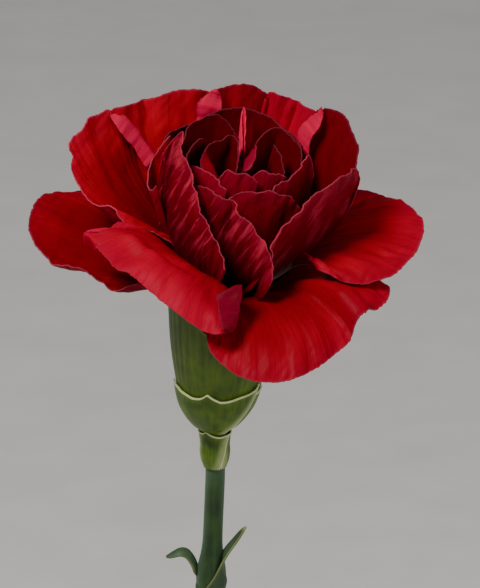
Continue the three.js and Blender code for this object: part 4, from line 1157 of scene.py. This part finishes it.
        root=Root(ring=3, depth=0, start=0.4, end=0.35, width=0.5), ruffle=(0, 2, 1.3), tooth=0.1, pale=1,
        tone=1.8, blush=0),
    seen_petal("sliver_left", Layer.REAR, 200, 40, (80, 70, 60), ((-10.4, 30.8, 5), (-11.8, 29.4, 5.5),
        (-13.4, 26.6, 6.5), (-14.2, 23.6, 7.5), (-14.7, 20.6, 8.5), (-14.1, 19.8, 9), (-13, 20.8, 9.5)),
        ruffle=(0.1, 2, 1.3)),
    rear_petal("guard_back_left", Layer.GUARD, 138, 27, 34, 7, 45, -15, GUARD_ROOT),
    rear_petal("guard_back_right", Layer.GUARD, 38, 34, 33, 5, 45, -25, GUARD_ROOT),
    rear_petal("guard_back", Layer.GUARD, 93, 36, 35, 8, 45, -15, GUARD_ROOT),
    rear_petal("mid_back_left", Layer.REAR, 118, 30, 27, 19, 50, 50, MIDDLE_ROOT),
    rear_petal("mid_back_right", Layer.REAR, 62, 30, 26, 18, 50, 45, MIDDLE_ROOT),
)


# ---- the green parts -------------------------------------------------------------------------
DIP_FROM = -20.0  # below this height the calyx stands straight, above it the mouth tips with the bloom
LEAN_HEIGHTS = (-62.0, -39.0, -31.0, -20.0, 0.0)
LEANS = (-2.3, -1.4, -1.4, -0.7, 0.0)  # how far right of the mouth the stem's middle is at those heights
LOW_SLOPE = 0.045  # how fast that changes below them


def lean_at(height: Array) -> Array:
    """Say how far right of the mouth the stem's middle is, at heights from the mouth."""
    low = LEANS[0] + (height - LEAN_HEIGHTS[0]) * LOW_SLOPE
    return np.where(height < LEAN_HEIGHTS[0], low, np.interp(height, LEAN_HEIGHTS, LEANS))


def round_point(turn: Array, height: Array, radius: Array) -> Array:
    """Place points round the leaning middle line.

    Args:
        turn: angles round it, in radians.
        height: heights from the calyx mouth, in millimetres.
        radius: distances from the middle, in millimetres.

    Returns:
        Points in the frame, in millimetres.
    """
    x = MOUTH[0] + lean_at(height) + radius * np.cos(turn)
    y = MOUTH[1] + radius * np.sin(turn)
    return np.stack([x, y, MOUTH[2] + height], axis=-1)


def dip(turn: Array, radius: Array, height: Array, full: float) -> Array:
    """Give how far points round the calyx tip with the bloom, in full from a height on."""
    share = np.clip((height - DIP_FROM) / (full - DIP_FROM), 0, 1)
    return -math.tan(BLOOM_LEAN) * radius * np.cos(turn) * share


def radius_on(profile: Profile, height: Array) -> Array:
    """Read a profile's radius at heights, from its points as height and radius."""
    line = smooth_line(np.array(profile), 200)
    return np.interp(height, line[:, 0], line[:, 1])


@dataclass
class Calyx:
    """The green tube that holds the claws, with five pointed teeth round its mouth."""

    outside: Profile = (
        (-30.9, 1.6), (-30.2, 2.2), (-29.3, 2.9), (-27.5, 4.7), (-25, 6.5), (-22.5, 7.7), (-20, 8.4),
        (-18, 8.85), (-15, 9.5), (-11.5, 10.1), (-6.5, 10.6))
    shoulder: float = -16.0  # height where the teeth begin to part
    sinus: float = -6.5  # height of the notches between them
    tooth_height: float = 4.5
    tooth_flare: float = 0.25
    teeth: int = 5
    wall: float = 0.5
    ribs: int = 35
    rib_height: float = 0.07
    pale_from: float = 0.965  # where the pale rim begins, as a share of the way up

    def build(self, finish: Material, tree: Tree) -> Piece:
        """Make the calyx.

        Args:
            finish: its material.
            tree: the tree that raises its ribs.

        Returns:
            The piece.
        """
        rows, columns = 160, 60
        turns = np.linspace(0, 2 * math.pi, rows, endpoint=False)
        heights = np.interp(np.linspace(0, 1, columns) ** 0.8, [0, 1], [self.outside[0][0], self.sinus])
        turn, height = np.meshgrid(turns, heights, indexing="ij")
        along = np.broadcast_to(np.linspace(0, 1, columns), turn.shape)
        radius = radius_on(self.outside, height)
        place = turn / (2 * math.pi) * self.teeth + 0.5
        tooth = (1 - np.abs(2 * (place % 1) - 1)) ** 0.85 * smooth_step(self.shoulder, self.sinus, height)
        lifted = height + dip(turn, radius, height, self.sinus) + self.tooth_height * tooth
        to_rim = np.clip((along - self.pale_from) / (1 - self.pale_from), 0, 1)
        layers = {"v": along * 3, "span": turn * 9.0, "edge": 0.75 * to_rim ** 2, "turn": turn,
                  "wax_and_painted_sheen": 0.08 * smooth_step(0.4, 1.0, along)}
        return shell("calyx_tube", round_point(turn, lifted, radius + self.tooth_flare * tooth), layers,
                     [finish], self.wall, side=-1, closed_round=True, tree=tree,
                     values={"Rib Height": self.rib_height * MM, "Ribs": float(self.ribs)})


def rib_tree() -> Tree:
    """Build the tree that raises fine ribs round a tube, from its attribute "turn".

    Returns:
        A tree with inputs Rib Height, Ribs and Finish.
    """
    tree, entry = new_tree("lengthwise_ribs", {"Rib Height": "Float", "Ribs": "Float"})
    turn = node(tree, "GeometryNodeInputNamedAttribute", {"Name": "turn"}, data_type="FLOAT")
    phase = node(tree, "ShaderNodeMath", {0: turn, 1: entry["Ribs"]}, operation="MULTIPLY")
    wave = node(tree, "ShaderNodeMath", {0: phase}, operation="COSINE")
    height = node(tree, "ShaderNodeMath", {0: wave, 1: entry["Rib Height"]}, operation="MULTIPLY")
    raised = node(tree, "ShaderNodeVectorMath", {0: node(tree, "GeometryNodeInputNormal"), "Scale": height},
                  operation="SCALE")
    moved = node(tree, "GeometryNodeSetPosition", {"Geometry": entry["Geometry"], "Offset": raised})
    return ended(tree, moved, entry["Finish"])


@dataclass
class Bract:
    """One bract that clasps the foot of the calyx or the top of the stem.

    from_turn and to_turn are its margins at the rim, in degrees, and narrow how far each has closed in at
    its base. rim holds its rim as places from 0 to 1 between the margins, each with its height. stand is how
    far the bract lies outside the profile.
    """

    name: str
    profile: Profile  # height, radius on the outside
    from_turn: float
    to_turn: float
    rim: Profile
    narrow: tuple[float, float] = (0.0, 0.0)
    stand: float = 0.0
    wall: float = 0.4
    margin: float = 0.36  # width of the pale papery margin
    shade: float = 0.55  # how dark the painted shade under the rim is

    def build(self, finish: Material) -> Piece:
        """Make the bract.

        Args:
            finish: its material.

        Returns:
            The piece.
        """
        rows, columns = 120, 48
        u = np.linspace(0, 1, rows)[:, None]
        t = np.linspace(0, 1, columns)[None, :]
        close = (1 - t) ** 1.2
        low = self.from_turn + self.narrow[0] * close
        wide = np.radians(self.to_turn - self.narrow[1] * close - low)
        heights = smooth_line(np.array(self.rim), 300)
        top = np.interp(u, heights[:, 0], heights[:, 1])
        base = self.profile[0][0]
        height = base + (top - base) * t ** 0.85
        radius = radius_on(self.profile, height) + self.stand
        radius = radius + 0.08 * smooth_step(0.9, 1.0, t)  # the thin rim turns out a little
        to_rim = top - height
        to_side = np.minimum(u, 1 - u) * wide * radius
        edge = 1 - smooth_step(self.margin * 0.5, self.margin, np.minimum(to_rim, to_side))
        sides = 0.4 * (1 - smooth_step(self.margin, self.margin * 7, to_side))
        # painted shade a little under the rim
        patch = np.exp(-((u - 0.48) / 0.3) ** 2 - ((to_rim - 2.0) / 1.4) ** 2)
        layers = {"v": t * 2 + 0 * u, "span": wide * 8.0 * u, "edge": np.maximum(edge * 0.95, sides),
                  "painted_shade": self.shade * patch}
        points = round_point(np.radians(low) + wide * u, height, radius)
        return shell(self.name, points, layers, [finish], self.wall, side=-1)


UPPER_PROFILE = ((-30.4, 2.7), (-29.8, 3.15), (-29.2, 3.8), (-28.5, 4.75), (-27.2, 5.9), (-25.5, 7.05),
                 (-24.2, 7.75), (-22.5, 8.35), (-20.6, 8.8), (-18.3, 9.15))
LOWER_PROFILE = ((-37.9, 2.35), (-37.4, 2.5), (-36.6, 2.8), (-35.7, 3.0), (-34.3, 3.12), (-33, 3.05),
                 (-31.3, 3.2), (-30.2, 3.4), (-28.8, 3.75))


@dataclass
class Bracts:
    """The two pairs of bracts under the flower: a broad cup, and a small sheath below it."""

    upper: tuple[Bract, ...] = (
        Bract("upper_bract_back", UPPER_PROFILE, -62, 196,
              ((0, -20.8), (0.15, -20.6), (0.26, -20.5), (0.4, -20.4), (0.5, -19.9), (0.55, -19.2),
               (0.6, -19.9), (0.75, -20.4), (1, -20.6)), narrow=(10, 10), stand=-0.12),
        Bract("upper_bract_front", UPPER_PROFILE, 180, 333,
              ((0, -19.0), (0.135, -19.2), (0.21, -19.7), (0.29, -20.05), (0.356, -20.4), (0.414, -20.25),
               (0.459, -19.77), (0.493, -19.2), (0.527, -19.73), (0.577, -20.4), (0.627, -20.77),
               (0.686, -20.65), (0.775, -20.15), (0.878, -19.8), (0.956, -19.4), (1, -18.4)),
              narrow=(2, 26), stand=0.08),
    )
    lower: tuple[Bract, ...] = (
        Bract("lower_bract_back", LOWER_PROFILE, -60, 200,
              ((0, -30.5), (0.3, -30.3), (0.45, -29.9), (0.5, -29.6), (0.55, -29.9), (0.7, -30.3),
               (1, -30.4)), stand=-0.08, wall=0.3, margin=0.3, shade=0.2),
        Bract("lower_bract_front", LOWER_PROFILE, 178, 328,
              ((0, -30.0), (0.22, -30.0), (0.31, -29.8), (0.4, -29.35), (0.49, -29.85), (0.645, -30.35),
               (0.757, -30.45), (0.86, -30.35), (1, -30.3)),
              narrow=(0, 36), stand=0.08, wall=0.3, margin=0.34, shade=0.85),
    )

    def build(self, finish: Material) -> dict[str, Piece]:
        """Make all four bracts.

        Args:
            finish: their material.

        Returns:
            Each pair as one piece, under the name of the CAD node that it replaces.
        """
        return {
            "upper_bracts": joined("bracts_upper", [bract.build(finish) for bract in self.upper]),
            "lower_bracts": joined("bracts_lower", [bract.build(finish) for bract in self.lower]),
        }


@dataclass
class Leaf:
    """A narrow leaf that clasps its joint and then stands free.

    spine holds points from the calyx mouth, in millimetres. side is across the blade. clasp is the turn of
    its back round the stem, and hold the half angle that its base wraps.
    """

    name: str
    spine: tuple[Point, ...]
    width: float
    side: Point
    clasp: float
    hold: float = 85.0
    base: float = -66.0
    free_from: float = 0.3
    brown: float = 0.0
    channel: float = 0.4  # how hollow its face is
    wall: float = 0.42
    clasp_gap: float = 0.12  # between its base and the stem
    margin_from: float = 0.86  # where the pale margin begins, as a share of the way out

    def build(self, finish: Material, stem_radius: Callable[[Array], Array]) -> Piece:
        """Make the leaf.

        Args:
            finish: its material.
            stem_radius: the stem's radius at a height from the mouth.

        Returns:
            The settled leaf.
        """
        rows, columns = 17, 64
        w, t = np.meshgrid(np.linspace(-1, 1, rows), np.linspace(0, 1, columns), indexing="ij")
        middle = smooth_line(np.array(self.spine), columns) + MOUTH
        tangent = unit(np.gradient(middle, axis=0))
        side = np.array(self.side)
        over = unit(side - (tangent @ side)[:, None] * tangent)
        # the blade widens a little from its base and ends in a narrow rounded tip
        half = self.width / 2 * np.minimum(1, 0.75 + 0.8 * t) * np.sqrt(1 - 0.97 * t ** 3.5)
        lift = self.channel * half * w ** 2
        blade = middle + (w * half)[..., None] * over + lift[..., None] * np.cross(tangent, over)
        height = self.base + (middle[:, 2].max() - MOUTH[2] - self.base) * t * 0.9
        turn = math.radians(self.clasp) + np.radians(self.hold) * w * (1 - 0.5 * smooth_step(0, 0.5, t))
        clasped = round_point(turn, height, stem_radius(height) + self.clasp_gap)
        free = smooth_step(self.free_from * 0.35, self.free_from, t)[..., None]
        margin = np.clip((np.abs(w) - self.margin_from) / (1 - self.margin_from), 0, 1)
        layers = {"v": t * 4, "span": w * self.width, "wax_and_painted_sheen": np.full(t.shape, 0.3),
                  "edge": np.maximum(0.4 * margin, self.brown * smooth_step(0.9, 1.0, t))}
        return shell(self.name, clasped * (1 - free) + blade * free, layers, [finish], self.wall)


@dataclass(frozen=True)
class Joint:
    """A swollen joint of the stem: its height, and how far and how long it swells."""

    height: float
    swell: float
    length: float


@dataclass
class Stem:
    """The slim round stem, swollen at its two leaf joints, and the leaves that clasp them."""

    radius: float = 2.0
    hole_gap: float = 0.6  # how far the water keeps from it
    upper: Joint = Joint(-62.0, 1.1, 4.5)
    lower: Joint = Joint(-108.0, 1.3, 5.0)
    lower_turn: float = 78.0  # which way the first leaf of the lower joint points
    sides: int = 48

    def radius_at(self, height: Array) -> Array:
        """Say how thick the stem is.

        Args:
            height: heights from the mouth, in millimetres.

        Returns:
            Its radius at each, in millimetres.
        """
        radius = self.radius
        for joint in (self.upper, self.lower):
            radius = radius + joint.swell * np.exp(-((height - joint.height) / joint.length) ** 2)
        return radius

    def middle(self) -> Array:
        """Lay the stem's middle line.

        Returns:
            Points in the frame, in millimetres, from the vase's floor up.
        """
        heights = np.array([self.lower.height, -85, self.upper.height, -50, -39, -31.2])
        free = np.stack([MOUTH[0] + lean_at(heights), 0 * heights, MOUTH[2] + heights], axis=1)
        in_vase = np.array([[-10.8, 2.0, 5.6], [-4.5, 1.0, 60.0], [4.0, -0.5, 108.0]])
        return smooth_line(np.vstack([in_vase, free]), 150)

    def leaves(self) -> tuple[Leaf, ...]:
        """List the two small leaves at the upper joint and the two long ones at the lower.

        Returns:
            The leaves.
        """
        left = ((-3.4, 0, -66.6), (-4.3, 0, -63.4), (-4.9, 0, -60.8), (-5.7, 0, -58.4), (-7, 0, -56.8),
                (-8.6, 0, -56.5), (-11.4, 0, -57.9))
        right = ((-2.4, -1.6, -65), (-1.4, -2, -62.5), (-0.6, -2, -60), (0.4, -1.6, -57.6), (1.6, -1, -55.8),
                 (3, -0.5, -54), (4.8, -0.3, -51.2))
        found = [Leaf("leaf_left", left, 3.6, (0, 0.94, 0.28), 180, free_from=0.45, hold=85),
                 Leaf("leaf_right", right, 2.8, (-0.25, 0.9, 0.1), -25, free_from=0.55, hold=98, brown=0.8)]
        arch = ((1.2, -5), (2.6, 2), (7, 12), (16, 19), (28, 19), (38, 11), (43, 1))
        foot = self.lower.height
        lean = float(lean_at(np.array(foot)))  # where the joint's middle is
        for number, (turn, spread) in enumerate(((self.lower_turn, 1.0), (self.lower_turn + 180, 0.9)), 1):
            x, y = math.cos(math.radians(turn)), math.sin(math.radians(turn))
            spine = tuple((lean + reach * spread * x, reach * spread * y, foot + rise)
                          for reach, rise in arch)
            found.append(Leaf(f"leaf_long_{number}", spine, 6.2, (-y, x, 0), turn, base=foot - 5,
                              free_from=0.16, hold=80, channel=-0.35))
        return tuple(found)

    def build(self, finish: Material, tree: Tree) -> Piece:
        """Make the stem with its leaves.

        Args:
            finish: their material.
            tree: the tree that sweeps the stem along its middle line.

        Returns:
            The piece.
        """
        line = self.middle()
        piece = from_line("stem_tube", line, finish, tree, self.sides,
                          {"thickness": self.radius_at(line[:, 2] - MOUTH[2]) * MM})
        self.dress(piece)
        leaves = [leaf.build(finish, self.radius_at) for leaf in self.leaves()]
        return joined("stem_with_leaves", [piece, *leaves])

    def hole(self, finish: Material, tree: Tree) -> Piece:
        """Make the wider stem shape that is cut out of the water.

        Args:
            finish: the water's material, which the cut faces keep.
            tree: the tree that sweeps it.

        Returns:
            The cutter, from under the vase's floor to over the water.
        """
        line = self.middle()
        line = line[line[:, 2] < 100]
        line = np.vstack([2 * line[0] - line[12], line])
        return from_line("stem_hole", line, finish, tree, self.sides,
                         {"thickness": np.full(len(line), self.radius + self.hole_gap) * MM})

    def dress(self, piece: Piece) -> None:
        """Give the swept stem the attributes that its material reads.

        Args:
            piece: the settled stem.
        """
        places = np.empty(len(piece.data.vertices) * 3, np.float32)
        piece.data.vertices.foreach_get("co", places)
        x, y, z = places.reshape(-1, 3).T / MM
        height = z - MOUTH[2]
        turn = np.arctan2(y, x - MOUTH[0] - lean_at(height))
        # real wax, painted thickest on the left and right sides as the camera sees them, where it is a
        # painted sheen; thicker all round near the top
        wax_and_painted_sheen = 0.1 + 0.7 * np.cos(turn) ** 4 + 0.35 * smooth_step(-44, -36, height)
        set_layers(piece.data, {"v": height / 12, "span": turn * 2.2, "edge": 0 * turn, "wax_and_painted_sheen": wax_and_painted_sheen})


def stem_tree() -> Tree:
    """Build the tree that sweeps a round section along a line, as thick as attribute "thickness" says.

    Returns:
        A tree with inputs Sides and Finish.
    """
    tree, entry = new_tree("swept_stem", {"Sides": "Int"})
    curve = node(tree, "GeometryNodeMeshToCurve", {"Mesh": entry["Geometry"]})
    thickness = node(tree, "GeometryNodeInputNamedAttribute", {"Name": "thickness"}, data_type="FLOAT")
    section = node(tree, "GeometryNodeCurvePrimitiveCircle", {"Resolution": entry["Sides"], "Radius": 1.0})
    tube = node(tree, "GeometryNodeCurveToMesh", {"Curve": curve, "Profile Curve": section,
                                                  "Scale": thickness, "Fill Caps": True})
    return ended(tree, tube, entry["Finish"])


# ---- the flower head -------------------------------------------------------------------------
@dataclass
class Bloom:
    """The whole flower head: its petals in layers, and the bundle of claws inside the calyx."""

    petals: tuple[Petal, ...] = PETALS
    claw_profile: Profile = (
        (0.0, -28.0), (3.2, -28.0), (5.3, -25.0), (7.0, -20.0), (8.2, -13.0), (8.9, -6.0), (7.0, 1.0),
        (0.0, 3.0))  # radius, height from the calyx mouth

    def build(self, finishes: Sequence[Material]) -> dict[Layer, Piece]:
        """Make every petal and join each layer into one piece.

        Args:
            finishes: the petal materials of the inside, the outside and the edge.

        Returns:
            One piece for each layer.
        """
        tree = petal_skin_tree()
        sheets: dict[Layer, list[Piece]] = {layer: [] for layer in Layer}
        for number, petal in enumerate(self.petals):
            sheets[petal.layer].append(petal.sheet(number, tree, finishes))
        return {layer: joined(layer.value, found) for layer, found in sheets.items()}

    def claws(self, finish: Material) -> Piece:
        """Make the bundle of petal claws that fills the calyx.

        Args:
            finish: its material.

        Returns:
            The piece.
        """
        turns = np.linspace(0, 2 * math.pi, 48, endpoint=False)
        line = smooth_line(np.array(self.claw_profile), 40)
        line[0, 0] = line[-1, 0] = 0.02
        turn, radius = np.meshgrid(turns, line[:, 0], indexing="ij")
        height = np.broadcast_to(line[:, 1], turn.shape)
        points = round_point(turn, height + dip(turn, radius, height, -6.0), radius)
        up_from_foot = (height - self.claw_profile[0][1]) / 200  # so that all of it has the claws' colour
        layers = {"v": np.clip(up_from_foot, 0, 1), "span": turn * radius, "tone": 0 * turn + 1}
        return mended(shell("claw_bundle", points, layers, [finish], 0, closed_round=True), open_ends=True)


# ---- vase ------------------------------------------------------------------------------------
Curve = tuple[int, Profile]  # how many samples it has, and its control points past where it starts


def carried_on(line: Profile, curves: Sequence[Curve]) -> Array:
    """Carry a line on by Bézier curves of any degree.

    Args:
        line: the points that it has so far, as radius and height.
        curves: the curves, each from the end of what is before it.

    Returns:
        The whole line.
    """
    whole = np.array(line, float)
    for count, controls in curves:
        t = np.linspace(0, 1, count)[:, None]
        level = [np.array(point, float) * np.ones_like(t) for point in (whole[-1], *controls)]
        while len(level) > 1:
            level = [(1 - t) * a + t * b for a, b in zip(level, level[1:])]
        whole = np.vstack([whole, level[0][1:]])
    return whole


@dataclass
class Vase:
    """A small bottle vase of glazed stoneware: round belly, slim neck, rolled lip."""

    foot: Profile = ((0, 0.6), (8, 0.6), (16.6, 0.6), (17.2, 0), (20, 0))
    outside: tuple[Curve, ...] = (
        (8, ((21, 0), (21, 1))),
        (40, ((26, 9), (29, 20), (29, 38))),
        (60, ((29, 66), (10, 74), (10, 102))),
        (24, ((10, 114), (12.5, 118.5))),
        (10, ((12.7, 119.9), (11, 120))),
    )
    inside: tuple[Curve, ...] = (
        (8, ((10, 120), (9.5, 119.2))),
        (24, ((7, 113), (7, 102))),
        (60, ((7, 76), (26, 64), (26, 38))),
        (40, ((26, 18), (18, 5), (14, 5))),
        (2, ((7, 5),)),
        (2, ((0, 5),)),
    )
    water_level: float = 78.0
    clearance: float = 0.45  # between the water and the wall
    climb: float = 0.7  # how far the water's rim curls up

    def inner_line(self) -> Array:
        """Lay the inside from the lip down to the middle of the floor."""
        return carried_on((self.outside[-1][1][-1],), self.inside)

    def build(self, finish: Material, tree: Tree) -> Piece:
        """Make the vase in its glaze, by the tree that turns a line into a round body."""
        return turned("vase_body", carried_on(self.foot, self.outside + self.inside), finish, tree)

    def water(self, finish: Material, tree: Tree, cutter: Piece) -> Piece:
        """Make the water, with a hole where the stem stands in it.

        Args:
            finish: its material.
            tree: the tree that turns a line into a round body.
            cutter: the shape of the hole, which is used up.

        Returns:
            The piece.
        """
        inside, level = self.inner_line(), self.water_level
        ahead = np.gradient(inside, axis=0)
        inward = unit(np.stack([ahead[:, 1], -ahead[:, 0]], axis=1))
        wall = inside + inward * self.clearance
        wall = wall[(wall[:, 1] < level - 0.6) & (wall[:, 0] > 0.5)]  # under the rim, short of the middle
        rim = float(np.interp(level, inside[::-1, 1], inside[::-1, 0])) - self.clearance
        surface = carried_on(((0, level), (rim - 2.5, level)),
                             [(8, ((rim - self.climb, level), (rim, level + self.climb), wall[0]))])
        line = np.vstack([surface, wall[1:], [(0.0, wall[-1, 1])]])[::-1]
        piece = turned("vase_water", line, finish, tree)
        cut = piece.modifiers.new("stem_hole", "BOOLEAN")
        cut.operation = "DIFFERENCE"
        cut.solver = "EXACT"
        cut.object = cutter
        settle(piece)
        bpy.data.objects.remove(cutter)
        return piece


def turned(name: str, line: Array, finish: Material, tree: Tree) -> Piece:
    """Make a round body from its profile line.

    Args:
        name: the piece's name.
        line: radius and height, from pole to pole, in millimetres.
        finish: its material.
        tree: the tree that turns the line round.

    Returns:
        The piece.
    """
    flat = np.stack([line[:, 0], 0 * line[:, 0], line[:, 1]], axis=1)
    return mended(from_line(name, flat, finish, tree, sides=144))


def turned_tree() -> Tree:
    """Build the tree that turns a profile line into a round body about +Z.

    Returns:
        A tree with inputs Sides and Finish.
    """
    tree, entry = new_tree("turned_body", {"Sides": "Int"})
    size = node(tree, "GeometryNodeAttributeDomainSize", {"Geometry": entry["Geometry"]}, component="MESH")
    count = size.outputs["Point Count"]
    columns = node(tree, "FunctionNodeIntegerMath", {0: entry["Sides"], 1: 1}, operation="ADD")
    around = node(tree, "GeometryNodeMeshGrid", {"Size X": 1.0, "Size Y": 1.0, "Vertices X": columns,
                                                 "Vertices Y": count})
    index = node(tree, "GeometryNodeInputIndex")
    place = node(tree, "FunctionNodeIntegerMath", {0: index, 1: count}, operation="MODULO")
    column = node(tree, "FunctionNodeIntegerMath", {0: index, 1: count}, operation="DIVIDE")
    sample = node(tree, "GeometryNodeSampleIndex", {
        "Geometry": entry["Geometry"], "Value": node(tree, "GeometryNodeInputPosition"), "Index": place,
    }, data_type="FLOAT_VECTOR", domain="POINT")
    share = node(tree, "ShaderNodeMath", {0: column, 1: entry["Sides"]}, operation="DIVIDE")
    angle = node(tree, "ShaderNodeMath", {0: share, 1: 2 * math.pi}, operation="MULTIPLY")
    spun = node(tree, "ShaderNodeVectorRotate", {"Vector": sample, "Axis": (0.0, 0.0, 1.0), "Angle": angle},
                rotation_type="AXIS_ANGLE")
    laid = node(tree, "GeometryNodeSetPosition", {"Geometry": around, "Position": spun})
    sealed = node(tree, "GeometryNodeMergeByDistance", {"Geometry": laid, "Distance": 0.01 * MM})
    return ended(tree, sealed, entry["Finish"])


# ---- studio ----------------------------------------------------------------------------------
@dataclass(frozen=True)
class Lamp:
    """One soft area light, aimed at the bloom."""

    name: str
    place: Point  # metres
    size: float
    watts: float

    def build(self) -> None:
        """Hang the light."""
        data = bpy.data.lights.new(self.name, "AREA")
        data.size = self.size
        data.energy = self.watts
        lamp = link(bpy.data.objects.new(self.name, data))
        lamp.location = self.place
        aim = Vector(MOUTH * MM) + Vector((0, 0, 0.01)) - Vector(self.place)
        lamp.rotation_euler = aim.to_track_quat("-Z", "Y").to_euler()


@dataclass(frozen=True)
class Studio:
    """A plain pale floor, soft light and a camera at the picture's angle."""

    lamps: tuple[Lamp, ...] = (
        Lamp("key", (-0.60, -0.50, 1.35), 0.45, 22.0),
        Lamp("fill", (1.2, -0.9, 0.9), 0.8, 11.0),
    )
    distance: float = 1000.0  # millimetres from the bloom to the camera
    aim: Point = (3.6, -0.8, 0.0)  # from the calyx mouth: right, up, forward
    air: str = "E6E8EC"
    ambient: float = 0.22
    floor_side: float = 10.0  # metres

    def camera(self) -> None:
        """Set up the camera that frames what the picture shows."""
        data = bpy.data.cameras.new("photo_view")
        data.sensor_fit = "VERTICAL"
        data.sensor_height = SENSOR_MM
        data.lens = SENSOR_MM * self.distance / IMAGE_HEIGHT_MM
        data.clip_start = 0.01
        camera = link(bpy.data.objects.new("photo_view", data))
        camera.location = Vector((from_mouth(self.aim) + self.distance * FORWARD) * MM)
        camera.rotation_euler = Vector(-FORWARD).to_track_quat("-Z", "Y").to_euler()
        bpy.context.scene.camera = camera

    def build(self, finish: Material) -> None:
        """Lay the floor and hang the lights.

        Args:
            finish: the floor's material.
        """
        half = self.floor_side / 2
        mesh = bpy.data.meshes.new("studio_floor")
        mesh.from_pydata([(-half, -half, 0), (half, -half, 0), (half, half, 0), (-half, half, 0)], [],
                         [(0, 1, 2, 3)])
        shaped("studio_floor", mesh, [finish])
        for lamp in self.lamps:
            lamp.build()
        world = bpy.data.worlds.new("studio_air")
        world.use_nodes = True
        background = world.node_tree.nodes["Background"]
        background.inputs["Color"].default_value = srgb(self.air)
        background.inputs["Strength"].default_value = self.ambient
        bpy.context.scene.world = world


# ---- the whole object ------------------------------------------------------------------------
def settle_in(piece: Piece, node_name: str, replaces: bool = True) -> None:
    """Hand a finished piece to the frame and log it.

    Args:
        piece: the piece, at the origin.
        node_name: the CAD node that it belongs to.
        replaces: true for the piece that stands for the node.
    """
    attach(piece, "root")
    if replaces:
        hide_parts(node_name)
    piece.data.calc_loop_triangles()
    log.info("%s: %d triangles, for %s", piece.name, len(piece.data.loop_triangles), node_name)


def main() -> None:
    """Build every piece round the frame, and the studio."""
    logging.basicConfig(level=logging.INFO, format="%(message)s")
    Studio().camera()
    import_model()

    petal = {finish.side: finish.material() for finish in PETAL_FINISHES}
    bloom = Bloom()
    for layer, piece in bloom.build(list(petal.values())).items():
        settle_in(piece, "bloom", layer is Layer.GUARD)
    settle_in(bloom.claws(petal[PetalSide.OUTSIDE]), "bloom", False)
    settle_in(Calyx().build(CALYX_GREEN.material(), rib_tree()), "calyx")
    for node_name, piece in Bracts().build(BRACT_GREEN.material()).items():
        settle_in(piece, node_name)
    stem, sweeping, turning = Stem(), stem_tree(), turned_tree()
    settle_in(stem.build(STEM_GREEN.material(), sweeping), "stem")
    vase, clear = Vase(), STILL_WATER.material()
    settle_in(vase.build(GlazeFinish().material(), turning), "vase")
    settle_in(vase.water(clear, turning, stem.hole(clear, sweeping)), "water")

    Studio().build(STUDIO_FLOOR.material())


if __name__ == "__main__":
    main()
